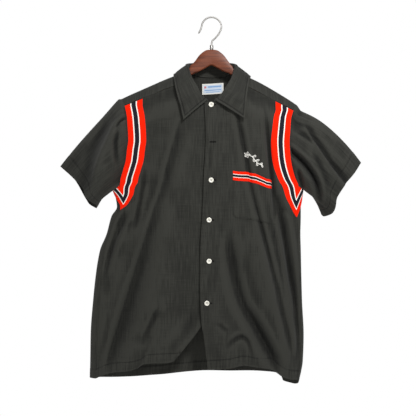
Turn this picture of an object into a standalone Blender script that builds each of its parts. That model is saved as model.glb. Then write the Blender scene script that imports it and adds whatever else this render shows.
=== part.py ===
"""A bowling shirt buttoned up on a flat wooden hanger.

The frame is the hook's: the origin is where the hook bears on a rail, +Z is up and the shirt's
front faces -Y. Sides are the wearer's, so the left front is at +X. Sizes are in millimetres, and
"drop" is a distance below the rail. Each mesh is turned into metres as it is made.
"""

import math
from collections import namedtuple

import bmesh
import bpy
import numpy as np

MM = 0.001

CLOTH = 1.2            # shirting, as a wall
COLLAR_CLOTH = 1.3     # two layers and interfacing, pressed flat
TAPE = 1.0             # striped knitted tape
LABEL_CLOTH = 0.6
SEAM_GAP = 0.5         # between two pieces at a seam, on each side of it
SLEEVE_GAP = 1.0       # the same at an armhole, measured along the sleeve
SLEEVE_CLEAR = (3.4, -2.0, 2.6)  # how far the sleeve keeps from the armpit: outwards, y and up
LAID_GAP = 0.8         # under a piece that lies on a curved panel
PIECE_GAP = 0.35       # under a small piece

SHOULDER_DROP = 60.0   # height over which the chest comes forward from the yoke seam
BODY_DEPTH_BACK = 36.0
BACK_GIRTH = 600.0     # about the length of the back's sections, for turning gaps into fractions
FRONT_GIRTH = 200.0
SIDE_ROUNDNESS = 3.2   # exponent of the back panel's section, 2 is an ellipse

TRIM_WIDTH = 44.0
TRIM_TIP_DROP = 471.0  # where the trim's inner edge meets the side seam
TRIM_TIP_LENGTH = 62.0
TRIM_INSET = 2.5       # of the rear tape from the armhole, which folds over there
TRIM_TURN_DROP = 385.0 # where the rear tape starts to turn round the side
TRIM_TURN_LIFT = 0.3   # how much further it lies from the panel from there on
TRIM_TIP_LIFT = 1.1    # and how much more at its tip
TAPE_END_GAP = 1.2

BUTTON_RADIUS = 5.9
BUTTON_THICK = 2.4
BUTTON_SIDES = 16
BUTTON_GAP = 0.5       # of thread between the button and the cloth

WIRE_RADIUS = 2.0
FERRULE_RADIUS = 4.6
FERRULE_DROP = (66.0, 77.7)
HANGER_HALF_THICK = 5.6

Edge = namedtuple("Edge", "drop out y")
Line = namedtuple("Line", "out drop y")
Fold = namedtuple("Fold", "out_top drop_top out_mid drop_mid out_low drop_low width depth")
Front = namedtuple("Front", "side inner outer top hem folds")

# The left front laps over the right one. Out is the distance from the centre line towards the side.
FRONT_LEFT = Front(
    side=1,
    inner=[
        Edge(212, -17, -43.5),
        Edge(298, -14, -43.5),
        Edge(377, -18, -43.5),
        Edge(456, -21, -43.5),
        Edge(580, -27, -44),
        Edge(664, -27, -44),
        Edge(732, -25, -44),
        Edge(777, -18, -44),
        Edge(851, -9, -45),
    ],
    outer=[
        Edge(229, 199, -16),
        Edge(249, 193, -22),
        Edge(275, 190, -26),
        Edge(306, 188, -27),
        Edge(339, 190, -27),
        Edge(364, 194, -25),
        Edge(391, 202, -21),
        Edge(412, 210, -17),
        Edge(446, 205, -17),
        Edge(470, 205, -17),
        Edge(531, 210, -15),
        Edge(689, 215, -15),
        Edge(786, 217, -15),
        Edge(883, 210, -13),
    ],
    top=[
        Line(-17, 212, -43.5),
        Line(10, 211, -42),
        Line(34, 198, -37),
        Line(50, 181, -30),
        Line(64, 160, -21),
    ],
    hem=[
        Line(-9, 851, -45),
        Line(44, 847, -46),
        Line(76, 841, -48),
        Line(106, 845, -46),
        Line(140, 850, -42),
        Line(171, 867, -36),
        Line(191, 877, -26),
        Line(210, 883, -13),
    ],
    folds=[
        Fold(74, 250, 92, 370, 112, 520, 26, 5),
        Fold(134, 205, 148, 380, 160, 560, 24, 6),
        Fold(160, 560, 196, 660, 205, 790, 24, 6),
        Fold(42, 530, 84, 690, 142, 815, 34, 12),
        Fold(112, 520, 150, 660, 186, 820, 26, -5),
    ],
)

FRONT_RIGHT = Front(
    side=-1,
    inner=[
        Edge(212, -11, -38.5),
        Edge(446, -6, -38.5),
        Edge(662, -3, -38.5),
        Edge(704, 9, -38.5),
        Edge(747, 25, -38.5),
        Edge(790, 57, -42),
        Edge(829, 90, -50),
    ],
    outer=[
        Edge(217, 211, -16),
        Edge(253, 204, -24),
        Edge(302, 201, -27),
        Edge(326, 204, -27),
        Edge(350, 207, -26),
        Edge(374, 214, -23),
        Edge(398, 221, -18),
        Edge(412, 222, -17),
        Edge(436, 214, -19),
        Edge(456, 213, -19),
        Edge(471, 221, -19),
        Edge(499, 236, -20),
        Edge(567, 258, -20),
        Edge(688, 272, -22),
        Edge(784, 277, -22),
        Edge(878, 280, -20),
    ],
    top=[
        Line(-11, 212, -38.5),
        Line(10, 212, -39),
        Line(36, 198, -36),
        Line(50, 180, -29),
        Line(62, 159, -21),
    ],
    hem=[
        Line(90, 829, -52),
        Line(105, 832, -56),
        Line(138, 833, -57),
        Line(162, 836, -55),
        Line(178, 847, -50),
        Line(199, 854, -45),
        Line(225, 857, -42),
        Line(256, 865, -36),
        Line(280, 878, -20),
    ],
    folds=[
        Fold(168, 360, 176, 480, 226, 530, 28, 8),
        Fold(144, 520, 205, 690, 250, 835, 36, 12),
        Fold(226, 540, 262, 620, 268, 680, 24, 5),
        Fold(126, 700, 150, 745, 176, 790, 24, 4),
        Fold(110, 420, 120, 600, 150, 800, 40, -5),
    ],
)

# The body's outline from the front, below the armpits, and the same line carried up behind the
# armholes, where it only shapes the back.
Side = namedtuple("Side", "drop right left")
SIDES = [
    Side(250, 246, 243),
    Side(300, 238, 234),
    Side(340, 238, 228),
    Side(370, 240, 224),
    Side(395, 242, 223),
    Side(412, 243, 224),
    Side(441, 234, 221),
    Side(463, 231, 218),
    Side(485, 244, 218),
    Side(529, 256, 217),
    Side(568, 272, 218),
    Side(617, 281, 219),
    Side(691, 289, 221),
    Side(774, 295, 225),
    Side(838, 296, 223),
    Side(884, 297, 214),
]

# How far round the side the back's edge lies: the depth of its armhole, then of the side seam.
ArmholeBack = namedtuple("ArmholeBack", "drop y")
ARMHOLE_BACK = [
    ArmholeBack(250, 24),
    ArmholeBack(300, 23),
    ArmholeBack(345, 20),
    ArmholeBack(375, 13),
    ArmholeBack(392, 6),
    ArmholeBack(400, 0),
    ArmholeBack(405, -7),
    ArmholeBack(412, -17),
]
ARMPIT_DROP = 412.0
ARMPIT_TURN_DROP = 378.0
ARMPIT_TURN_ROWS = [367, 378, 388, 395, 400, 403.5, 406.5, 409, 410.6, ARMPIT_DROP]
BACK_TOP_DROP = 250.0

BackHem = namedtuple("BackHem", "x drop")
BACK_HEM = [
    BackHem(-297, 884),
    BackHem(-233, 887),
    BackHem(-144, 883),
    BackHem(-9, 872),
    BackHem(84, 872),
    BackHem(151, 874),
    BackHem(190, 884),
    BackHem(214, 898),
]
BACK_FOLDS = [
    Fold(-120, 300, -140, 560, -170, 860, 40, 8),
    Fold(-40, 280, -30, 560, -60, 860, 46, -6),
    Fold(30, 300, 40, 560, 36, 860, 40, 8),
    Fold(110, 290, 130, 560, 128, 860, 36, -6),
    Fold(170, 460, 168, 640, 160, 860, 30, 7),
    Fold(-220, 560, -226, 680, -236, 860, 30, 6),
]

# The yoke runs round the neck seam. Each station is a straight line from the neck to the armhole
# or, behind, to the back's top edge. The ones between the back corners end on the back itself.
Station = namedtuple("Station", "neck_x neck_y neck_drop end_x end_y end_drop")
YOKE_RIGHT = [
    Station(-62, -21, 158, -211, -16, 216),
    Station(-62, -11, 140, -216, -10, 205),
    Station(-61, 0, 130, -219, 0, 198),
    Station(-57, 10, 131, -217, 9, 206),
    Station(-46, 19, 136, -212, 18, 226),
]
YOKE_BACK_NECK = [
    Station(-36, 24, 139, -1, 0, 0),
    Station(-24, 27, 141, -0.55, 0, 0),
    Station(0, 29, 142, 0, 0, 0),
    Station(24, 27, 141, 0.55, 0, 0),
    Station(36, 24, 139, 1, 0, 0),
]
YOKE_LEFT = [
    Station(46, 19, 136, 210, 18, 236),
    Station(58, 10, 132, 210, 9, 221),
    Station(63, 0, 133, 208, 0, 213),
    Station(64, -11, 143, 204, -10, 219),
    Station(64, -21, 159, 199, -16, 228),
]
YOKE_CROWN_LEFT = 5.0    # the left shoulder line is arched by this much
YOKE_CROWN_RIGHT = 1.5

# Sections of the collar, from one front end to the centre back: seam, fold line and outer edge.
Collar = namedtuple(
    "Collar",
    "seam_x seam_y seam_drop fold_x fold_y fold_drop edge_x edge_y edge_drop",
)
COLLAR_RIGHT = [
    Collar(-12, -43, 210, -11, -46.5, 208, -67, -45, 256),
    Collar(-34, -39.5, 196, -25, -43, 196, -74, -45, 224),
    Collar(-47, -33, 178, -38, -35, 172, -81, -39, 200),
    Collar(-60, -24, 157, -51, -25, 147, -87, -31, 176),
    Collar(-61, -11, 138.5, -58, -11, 123, -93, -19, 150),
    Collar(-60, 0, 128.5, -61, 0, 114, -96, 0, 137),
    Collar(-56, 10, 129.5, -58, 12, 110, -91, 20, 147),
    Collar(-45, 19, 134.5, -47, 21, 107, -72, 34, 157),
    Collar(-24, 26.5, 139.5, -25, 28, 105, -38, 43, 164),
    Collar(0, 28.5, 140.5, 0, 30, 104, 0, 46, 166),
]
COLLAR_LEFT = [
    Collar(12, -46, 210, 9, -49, 208, 79, -48, 254),
    Collar(33, -41, 196, 23, -46, 196, 82, -47, 224),
    Collar(48, -33, 179, 38, -37, 173, 84, -41, 202),
    Collar(62, -24, 158, 51, -26, 149, 87, -32, 179),
    Collar(63, -11, 141.5, 58, -11, 125, 92, -19, 154),
    Collar(62, 0, 131.5, 61, 0, 116, 96, 0, 144),
    Collar(57, 10, 130.5, 58, 12, 111, 91, 20, 152),
    Collar(45, 19, 134.5, 47, 21, 107, 72, 34, 158),
    Collar(24, 26.5, 139.5, 25, 28, 105, 38, 43, 164),
    Collar(0, 28.5, 140.5, 0, 30, 104, 0, 46, 166),
]
COLLAR_FOLD_RADIUS = 2.3

# The sleeves' hems, round from the top by the front to the bottom and back by the rear.
Rim = namedtuple("Rim", "x y drop")
HEM_RIGHT = [
    Rim(-370, 0, 364),
    Rim(-334, -16, 394),
    Rim(-304, -24, 422),
    Rim(-303, -24, 438),
    Rim(-297, -16, 455),
    Rim(-285, 0, 469),
    Rim(-292, 14, 456),
    Rim(-306, 22, 434),
    Rim(-338, 16, 396),
]
HEM_LEFT = [
    Rim(366, 0, 355),
    Rim(346, -14, 382),
    Rim(318, -24, 416),
    Rim(304, -26, 444),
    Rim(292, -20, 472),
    Rim(272, 0, 485),
    Rim(282, 14, 470),
    Rim(304, 22, 438),
    Rim(338, 16, 394),
]
HEM_LOWEST = 5         # the row of each table at the underside
SleeveShape = namedtuple("SleeveShape", "top_rise front_depth back_depth")
SLEEVE_RIGHT = SleeveShape(6, 12, 10)
SLEEVE_LEFT = SleeveShape(15, 12, 10)

Corner = namedtuple("Corner", "out drop")
POCKET = [Corner(51, 377), Corner(143, 399), Corner(141, 503), Corner(51, 488)]
POCKET_TRIM_HEIGHT = 22.0

ButtonPlace = namedtuple("ButtonPlace", "out drop")
BUTTONS = [
    ButtonPlace(-1, 219),
    ButtonPlace(-1, 399),
    ButtonPlace(-6, 494),
    ButtonPlace(-6, 592),
    ButtonPlace(-11, 692),
]

LABEL_X = (-23.0, 30.0)
LABEL_DROP = (155.0, 181.0)

Arm = namedtuple("Arm", "x top bottom")
HANGER_ARMS = [
    Arm(-216, 203, 218),
    Arm(-204, 195.5, 216),
    Arm(-153, 171.5, 194),
    Arm(-92, 146, 168),
    Arm(-64, 136, 152),
    Arm(-58, 130, 147),
    Arm(-52, 118, 142),
    Arm(-42, 108, 136),
    Arm(-27, 89, 130),
    Arm(-11, 79, 121),
    Arm(0, 78, 116),
    Arm(11, 79, 121),
    Arm(27, 89, 130),
    Arm(42, 108, 136),
    Arm(52, 121, 142),
    Arm(59, 134.5, 149),
    Arm(66, 140, 155),
    Arm(92, 151.5, 173),
    Arm(131, 173, 194),
    Arm(170, 194, 214),
    Arm(196, 209.5, 226),
    Arm(206, 217, 228),
]

HOOK_RADIUS = 24.0
HOOK_BENDS = [(19, -37), (8.5, -50), (1.5, -57), (0, -66)]
HOOK_MOUTH = [(-27, -29), (-32, -38)]
HOOK_FOOT_DROP = 77.4


# ---------------------------------------------------------------- curves and surfaces

def mix(a, b, t):
    return a + (b - a) * t


def ease(t):
    """0 to 1 with level ends."""
    t = np.clip(t, 0, 1)
    return t * t * (3 - 2 * t)


def smooth(keys, values, at):
    """A curve through the rows that never swings past them."""
    keys, values = np.asarray(keys, float), np.asarray(values, float)
    at = np.clip(at, keys[0], keys[-1])
    step = np.diff(keys)
    rise = np.diff(values) / step
    slope = np.empty(len(values))
    slope[0], slope[-1] = rise[0], rise[-1]
    before, after = rise[:-1], rise[1:]
    same_way = before * after > 0
    total = np.where(same_way, before + after, 1)
    slope[1:-1] = np.where(same_way, 2 * before * after / total, 0)
    row = np.clip(np.searchsorted(keys, at) - 1, 0, len(step) - 1)
    t = (at - keys[row]) / step[row]
    start, end = slope[row] * step[row], slope[row + 1] * step[row]
    return (
        values[row] * (1 + 2 * t) * (1 - t) ** 2
        + start * t * (1 - t) ** 2
        + values[row + 1] * t * t * (3 - 2 * t)
        - end * t * t * (1 - t)
    )


def read(rows, key, column, at):
    """One column of a table at places between its rows."""
    return smooth(
        [getattr(row, key) for row in rows], [getattr(row, column) for row in rows], at
    )


def evenly(line, fractions):
    """Points of a polyline at fractions of its length."""
    far = np.concatenate([[0], np.cumsum(np.linalg.norm(np.diff(line, axis=0), axis=1))])
    at = np.asarray(fractions) * far[-1]
    return np.stack([np.interp(at, far, line[:, axis]) for axis in range(3)], axis=-1)


def outward(surface, u, v, way):
    """Unit normals of a surface function."""
    small = 4e-3
    along_u = surface(u + small, v) - surface(u - small, v)
    along_v = surface(u, v + small) - surface(u, v - small)
    normal = np.cross(along_u, along_v) * way
    return normal / np.linalg.norm(normal, axis=-1, keepdims=True)


def sunk(folds, out, drop):
    """How far the folds push the cloth in at each place. A negative depth is a ridge."""
    total = np.zeros(np.shape(out))
    for fold in folds:
        t = np.clip((drop - fold.drop_top) / (fold.drop_low - fold.drop_top), 0, 1)
        middle = (fold.drop_mid - fold.drop_top) / (fold.drop_low - fold.drop_top)
        bend = fold.out_mid - mix(fold.out_top, fold.out_low, middle)
        path = mix(fold.out_top, fold.out_low, t) + bend * t * (1 - t) / (middle * (1 - middle))
        length = fold.drop_low - fold.drop_top
        fade = ease((drop - fold.drop_top) / (0.3 * length))
        fade = fade * ease((fold.drop_low + 0.1 * length - drop) / (0.3 * length))
        total += fold.depth * fade * np.exp(-(((out - path) / fold.width) ** 2))
    return total


def front_surface(front):
    """A front panel over u, from its closing edge to its side, and v, from its top to its hem."""

    def surface(u, v):
        u, v = np.broadcast_arrays(np.asarray(u, float), np.asarray(v, float))
        inner_drop = mix(front.inner[0].drop, front.inner[-1].drop, v)
        outer_drop = mix(front.outer[0].drop, front.outer[-1].drop, v)
        inner = read(front.inner, "drop", "out", inner_drop)
        outer = read(front.outer, "drop", "out", outer_drop)
        out = mix(inner, outer, u)
        top_out = mix(front.inner[0].out, front.outer[0].out, u)
        hem_out = mix(front.inner[-1].out, front.outer[-1].out, u)
        shoulder = np.clip(
            (top_out - front.top[-1].out) / (front.outer[0].out - front.top[-1].out), 0, 1
        )
        top_drop = mix(read(front.top, "out", "drop", top_out), front.outer[0].drop, shoulder)
        top_y = mix(read(front.top, "out", "y", top_out), front.outer[0].y, shoulder)
        drop = mix(top_drop, read(front.hem, "out", "drop", hem_out), v)
        turn = 3 + 3 * ease((outer_drop - ARMPIT_DROP + 40) / 80)
        y = mix(
            read(front.inner, "drop", "y", inner_drop),
            read(front.outer, "drop", "y", outer_drop),
            np.abs(u) ** turn,
        )
        y = mix(top_y, y, ease((drop - top_drop) / SHOULDER_DROP))
        y = mix(y, read(front.hem, "out", "y", hem_out), ease((v - 0.8) / 0.2))
        free = ease(v / 0.08) * ease(u / 0.12) * ease((1 - u) / 0.1)
        y = y + sunk(front.folds, out, drop) * free
        return np.stack([front.side * out, y, -drop], axis=-1)

    return surface


def side_seam(front, drop):
    """How far round the side the seam lies at a drop, and how deep the section is in front there."""
    right = -read(SIDES, "drop", "right", drop)
    left = read(SIDES, "drop", "left", drop)
    x = front.side * read(front.outer, "drop", "out", drop)
    y = read(front.outer, "drop", "y", drop)
    along = min(abs(x - (left + right) / 2) / ((left - right) / 2), 0.995)
    around = math.acos(along ** (SIDE_ROUNDNESS / 2))
    return around, abs(y) / math.sin(around) ** (2 / SIDE_ROUNDNESS)


def back_section(drop, count=900):
    """The back's outline from above, from the right edge round to the left one."""
    power = 2 / SIDE_ROUNDNESS
    right = -read(SIDES, "drop", "right", drop)
    left = read(SIDES, "drop", "left", drop)
    centre, half = (left + right) / 2, (left - right) / 2
    ends = []
    depths = []
    for front in (FRONT_RIGHT, FRONT_LEFT):
        around, depth = side_seam(front, max(drop, ARMPIT_DROP))
        if drop < ARMPIT_DROP:
            y = read(ARMHOLE_BACK, "drop", "y", drop)
            reach = BODY_DEPTH_BACK if y > 0 else depth
            around = math.copysign(math.asin((abs(y) / reach) ** (1 / power)), -y)
        ends.append(around)
        depths.append(depth)
    angle = np.linspace(-ends[0], math.pi + ends[1], count)
    across, deep = np.cos(angle), np.sin(angle)
    x = centre - half * np.sign(across) * np.abs(across) ** power
    front_depth = np.where(angle < math.pi / 2, depths[0], depths[1])
    y = np.where(deep > 0, BODY_DEPTH_BACK, -front_depth) * np.abs(deep) ** power
    return x, y


BACK_ROWS = 240
BACK_HALF_COLUMNS = 240
SHAPED_EDGE = 0.65     # beyond this share of each half, the columns spread to meet the edge


def back_net():
    """The back's points, evenly spaced along each section, as rows from its top to its hem."""
    drops = np.linspace(BACK_TOP_DROP, SIDES[-1].drop, BACK_ROWS)
    lines = []
    for drop in drops:
        x, y = back_section(drop)
        lines.append(np.stack([x, y, np.zeros(len(x))], axis=-1))
    share = np.linspace(0, 1, BACK_HALF_COLUMNS + 1)
    spread = ease((share - SHAPED_EDGE) / (1 - SHAPED_EDGE))
    halves = []
    for right in (True, False):
        sides = []
        for line in lines:
            top = int(np.argmax(line[:, 1]))
            sides.append(line[top::-1] if right else line[top:])
        length = np.array([np.linalg.norm(np.diff(side, axis=0), axis=1).sum() for side in sides])
        at_tip = np.interp(TRIM_TIP_DROP, drops, length)
        calm = np.interp(drops, [drops[0], TRIM_TIP_DROP], [length[0], at_tip])
        calm = np.where(drops < TRIM_TIP_DROP, calm, length)
        halves.append(
            [evenly(side, share * mix(even / whole, 1, spread))
             for side, whole, even in zip(sides, length, calm)]
        )
    return np.array([np.concatenate([a[::-1], b[1:]]) for a, b in zip(*halves)])


BACK_NET = back_net()


def between(net, row, column):
    """A place in a net of points, by straight lines between them."""
    row = np.clip(row, 0, net.shape[0] - 1)
    column = np.clip(column, 0, net.shape[1] - 1)
    low_row = np.minimum(row.astype(int), net.shape[0] - 2)
    low_column = np.minimum(column.astype(int), net.shape[1] - 2)
    a, b = (row - low_row)[..., None], (column - low_column)[..., None]
    top = mix(net[low_row, low_column], net[low_row, low_column + 1], b)
    low = mix(net[low_row + 1, low_column], net[low_row + 1, low_column + 1], b)
    return mix(top, low, a)


def back_surface(u, v):
    """The back over u, from its right edge to its left one, and v, from the yoke to the hem."""
    u, v = np.broadcast_arrays(np.asarray(u, float), np.asarray(v, float))
    place = between(BACK_NET, v * (BACK_ROWS - 1), u * (BACK_NET.shape[1] - 1))
    x, y = place[..., 0], place[..., 1]
    drop = mix(BACK_TOP_DROP, SIDES[-1].drop, v)
    hem = read(BACK_HEM, "x", "drop", x)
    seam_hem = mix(FRONT_RIGHT.outer[-1].drop, FRONT_LEFT.outer[-1].drop, u)
    drop = drop + (mix(seam_hem, hem, ease((y + 10) / 30)) - SIDES[-1].drop) * ease((v - 0.6) / 0.4)
    drop = drop - 4 * ease(1 - v / 0.1) * (1 - (2 * u - 1) ** 2)
    free = ease(v / 0.1) * ease((y - 12) / 22)
    y = y - sunk(BACK_FOLDS, x, drop) * free
    return np.stack([x, y, -drop], axis=-1)


def yoke_surface():
    """The yoke over u, round the neck from the right front seam to the left one, and v, outwards."""
    stations = YOKE_RIGHT + YOKE_BACK_NECK + YOKE_LEFT
    neck = np.array([[s.neck_x, s.neck_y, -s.neck_drop] for s in stations], float)
    end = np.array([[s.end_x, s.end_y, -s.end_drop] for s in stations], float)
    for i, station in enumerate(YOKE_BACK_NECK):
        end[len(YOKE_RIGHT) + i] = back_surface((1 + station.end_x) / 2, 0.0)
    keys = np.arange(len(stations))
    turn_out = len(stations) - 1

    def surface(u, v):
        u, v = np.broadcast_arrays(np.asarray(u, float), np.asarray(v, float))
        at = np.clip(u, 0, 1) * turn_out
        inner = np.stack([smooth(keys, neck[:, axis], at) for axis in range(3)], axis=-1)
        outer = np.stack([smooth(keys, end[:, axis], at) for axis in range(3)], axis=-1)
        point = mix(inner, outer, v[..., None])
        crown = np.where(u < 0.5, YOKE_CROWN_RIGHT, YOKE_CROWN_LEFT)
        over = np.exp(-((np.minimum(at, turn_out - at) - 2) ** 2))
        point[..., 2] += crown * over * 4 * v * (1 - v)
        return point

    return surface


YOKE = yoke_surface()
YOKE_TURNS = len(YOKE_RIGHT) + len(YOKE_BACK_NECK) + len(YOKE_LEFT) - 1


def armhole(front):
    """The armhole's line in two: from the shoulder by the front and the armpit to where it turns
    behind the side, and from there up the back."""
    u = np.linspace(2, 0, 12) / YOKE_TURNS
    back_u = np.linspace(len(YOKE_RIGHT), 2, 16) / YOKE_TURNS
    if front.side > 0:
        u, back_u = 1 - u, 1 - back_u
    armpit = (ARMPIT_DROP - front.outer[0].drop) / (front.outer[-1].drop - front.outer[0].drop)
    back_armpit = (ARMPIT_DROP - BACK_TOP_DROP) / (SIDES[-1].drop - BACK_TOP_DROP)
    over = YOKE(u, 1.0)
    down = front_surface(front)(1.0, np.linspace(0, armpit, 40))
    up = back_surface(float(front.side > 0), np.linspace(back_armpit, 0, 60))
    behind = YOKE(back_u, 1.0)
    turn = int(np.argmax(up[:, 1] >= 0))
    clear = np.array(SLEEVE_CLEAR) * (front.side, 1, 1)
    down = down + ease((-down[:, 2:] - ARMPIT_DROP + 27) / 20) * clear
    up = up + mix(0.25, 1, ease((-up[:, 2:] - ARMPIT_DROP + 102) / 60)) * clear
    fore = np.concatenate([over, down, up[: turn + 1]])
    return fore, np.concatenate([up[turn:], behind])


def sleeve_surface(front, rim, shape):
    """A sleeve over u, once round from the top by the front, and v, from the armhole to the hem."""
    fore, rear = armhole(front)
    hem = np.array([[point.x, point.y, -point.drop] for point in rim + rim[:1]], float)
    keys = np.arange(len(hem))
    around = np.linspace(0, 1, 40)
    fine = [
        np.stack([smooth(keys, hem[:, axis], span) for axis in range(3)], axis=-1)
        for span in (around * HEM_LOWEST, HEM_LOWEST + around * (len(rim) - HEM_LOWEST))
    ]

    def surface(u, v):
        u, v = np.broadcast_arrays(np.asarray(u, float), np.asarray(v, float))
        u = u % 1.0
        half = (u >= 0.5).astype(int)
        along = np.where(half, u - 0.5, u) * 2
        start = np.where(half[..., None], evenly(rear, along), evenly(fore, along))
        end = np.where(half[..., None], evenly(fine[1], along), evenly(fine[0], along))
        point = mix(start, end, v[..., None])
        arch = 4 * v * (1 - v)
        sideways = np.sin(2 * np.pi * u)
        depth = np.where(half, shape.back_depth, shape.front_depth)
        point[..., 1] -= depth * sideways * arch * 0.8
        rise = ease((np.cos(2 * np.pi * u) - 0.2) / 0.8) * arch * shape.top_rise
        point[..., 2] += rise * 0.7
        point[..., 0] += rise * 0.7 * front.side
        return point

    return surface


def collar_sections(stations):
    """The collar's cross-sections: up the stand, over the fold and down the fall."""
    sections = []
    for row in stations:
        seam = np.array([row.seam_x, row.seam_y, -row.seam_drop], float)
        fold = np.array([row.fold_x, row.fold_y, -row.fold_drop], float)
        edge = np.array([row.edge_x, row.edge_y, -row.edge_drop], float)
        away = edge - fold
        away[2] = 0
        away = away / np.linalg.norm(away)
        down = np.array([0, 0, -COLLAR_FOLD_RADIUS])
        near = fold - away * COLLAR_FOLD_RADIUS + down
        far = fold + away * COLLAR_FOLD_RADIUS + down
        shoulder = COLLAR_FOLD_RADIUS * 0.7
        sections.append(
            [
                seam,
                mix(seam, near, 0.5),
                near,
                fold - away * shoulder + down * 0.3,
                fold,
                fold + away * shoulder + down * 0.3,
                far,
                mix(far, edge, 0.3) + away * 0.6,
                mix(far, edge, 0.65) + away * 0.6,
                edge,
            ]
        )
    return np.array(sections)


# ---------------------------------------------------------------- meshes

def material(name, colour, roughness, metallic=0.0):
    made = bpy.data.materials.new(name)
    made.use_nodes = True
    shader = made.node_tree.nodes["Principled BSDF"]
    shader.inputs["Base Color"].default_value = (*colour, 1)
    shader.inputs["Roughness"].default_value = roughness
    shader.inputs["Metallic"].default_value = metallic
    return made


def add(name, points, faces, finish, round_angle=None):
    mesh = bpy.data.meshes.new(name)
    mesh.from_pydata([tuple(p) for p in np.asarray(points) * MM], [], faces)
    mesh.materials.append(finish)
    if round_angle:
        mesh.shade_smooth()
        mesh.set_sharp_from_angle(angle=math.radians(round_angle))
    piece = bpy.data.objects.new(name, mesh)
    bpy.context.scene.collection.objects.link(piece)
    return piece


def net_faces(rows, columns, around):
    """Quads between the points of a net, whose columns may close round."""
    faces = []
    for r in range(rows - 1):
        for c in range(columns - (0 if around else 1)):
            a, b = r * columns + c, r * columns + (c + 1) % columns
            faces.append((a, b, b + columns, a + columns))
    return faces


def wall(name, net, normals, thick, finish, around=False, lift=0.0):
    """A closed sheet of cloth: an outer and an inner skin over the net, joined at the edges."""
    rows, columns = net.shape[:2]
    skins = [net + normals * (lift + side * thick / 2) for side in (1, -1)]
    count = rows * columns
    quads = net_faces(rows, columns, around)
    faces = list(quads) + [(a + count, d + count, c + count, b + count) for a, b, c, d in quads]
    edges = [[r * columns + c for c in range(columns)] for r in (0, rows - 1)]
    rims = [edges[0] + edges[0][:1], edges[1] + edges[1][:1]]
    if not around:
        side = [[r * columns + c for r in range(rows)] for c in (0, columns - 1)]
        rims = [edges[0][:-1] + side[1][:-1] + edges[1][::-1][:-1] + side[0][::-1]]
    for rim in rims:
        faces += [(a, b, b + count, a + count) for a, b in zip(rim, rim[1:])]
    points = np.concatenate([skin.reshape(-1, 3) for skin in skins])
    piece = add(name, points, faces, finish, 40)
    shell = bmesh.new()
    shell.from_mesh(piece.data)
    bmesh.ops.recalc_face_normals(shell, faces=shell.faces)
    shell.to_mesh(piece.data)
    shell.free()
    return piece


def panel(name, surface, u, v, way, thick, finish, lift=0.0):
    u, v = np.meshgrid(u, v)
    return wall(name, surface(u, v), outward(surface, u, v, way), thick, finish, lift=lift)


def rings(name, sections, finish, round_angle=60):
    """A solid through closed rings of points, with flat ends."""
    count = len(sections[0])
    faces = net_faces(len(sections), count, True)
    last = (len(sections) - 1) * count
    faces += [tuple(range(count))[::-1], tuple(range(last, last + count))]
    piece = add(name, np.concatenate(sections), faces, finish, round_angle)
    shell = bmesh.new()
    shell.from_mesh(piece.data)
    bmesh.ops.recalc_face_normals(shell, faces=shell.faces)
    shell.to_mesh(piece.data)
    shell.free()
    return piece


def inset(u, gap, length):
    """The same fractions, held a little inside both ends."""
    return gap / length + u * (1 - 2 * gap / length)


# ---------------------------------------------------------------- the pieces

BLACK = (0.036, 0.037, 0.032)
RED = (0.86, 0.022, 0.008)


def make_fronts(cloth, tape):
    """Both fronts, with the striped tape that follows their armholes."""
    across = np.array([0, 0.06, 0.14, 0.24, 0.34, 0.44, 0.54, 0.63, 0.71, 0.79, 0.86, 0.92, 0.965, 1])
    for name, front in (("left", FRONT_LEFT), ("right", FRONT_RIGHT)):
        surface = front_surface(front)
        length = front.outer[-1].drop - front.outer[0].drop
        drops = np.concatenate(
            [
                np.linspace(front.outer[0].drop, ARMPIT_DROP, 10),
                np.linspace(ARMPIT_DROP, TRIM_TIP_DROP, 6)[1:],
                np.linspace(TRIM_TIP_DROP, front.outer[-1].drop, 14)[1:],
            ]
        )
        down = (drops - front.outer[0].drop) / length
        body_down = down.copy()
        body_down[0] = SEAM_GAP / length
        u = across.copy()
        u[-1] = 1 - SEAM_GAP / FRONT_GIRTH
        panel(f"front_{name}", surface, u, body_down, -front.side, CLOTH, cloth)

        taped = down[drops <= TRIM_TIP_DROP]
        taped_drops = drops[drops <= TRIM_TIP_DROP]
        taped[0] = TAPE_END_GAP / length
        reach = TRIM_WIDTH * tape_width(taped_drops)
        width = read(front.outer, "drop", "out", taped_drops) - read(
            front.inner, "drop", "out", taped_drops
        )
        strip = np.linspace(1, 0, 4)
        u = 1 - strip[None, :] * (reach / width)[:, None]
        u = np.minimum(u, 1 - SEAM_GAP / FRONT_GIRTH)
        v = np.repeat(taped[:, None], len(strip), axis=1)
        net, normals = surface(u, v), outward(surface, u, v, -front.side)
        wall(f"trim_front_{name}", net, normals, TAPE, tape, lift=(CLOTH + TAPE) / 2 + LAID_GAP)


def tape_width(drop):
    """The tape's width at a drop, as a share of its full width. It is mitred to a tip."""
    return np.sqrt(np.clip((TRIM_TIP_DROP - drop) / TRIM_TIP_LENGTH, 0.0004, 1))


TIP_SQUEEZE = 0.3      # how close the back's columns come at the tape's tip


def back_columns(drops):
    """Places across the back, closer at its sides, where it turns. The first ones lie under the
    tape, so they draw together at its tip and then spread again."""
    taped = np.array([0, 0.009, 0.018, 0.028, 0.039, 0.055, 0.073])
    plain = np.linspace(0, 1, 8)[1:]
    squeeze = np.where(
        drops < TRIM_TIP_DROP,
        np.maximum(tape_width(drops), TIP_SQUEEZE),
        mix(TIP_SQUEEZE, 1, ease((drops - TRIM_TIP_DROP) / 90)),
    )[:, None]
    edge = taped[-1] * squeeze
    half = np.concatenate([taped * squeeze, mix(edge, 0.5, plain)], axis=1)
    return np.concatenate([half, 1 - half[:, ::-1][:, 1:]], axis=1), len(taped)


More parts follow.
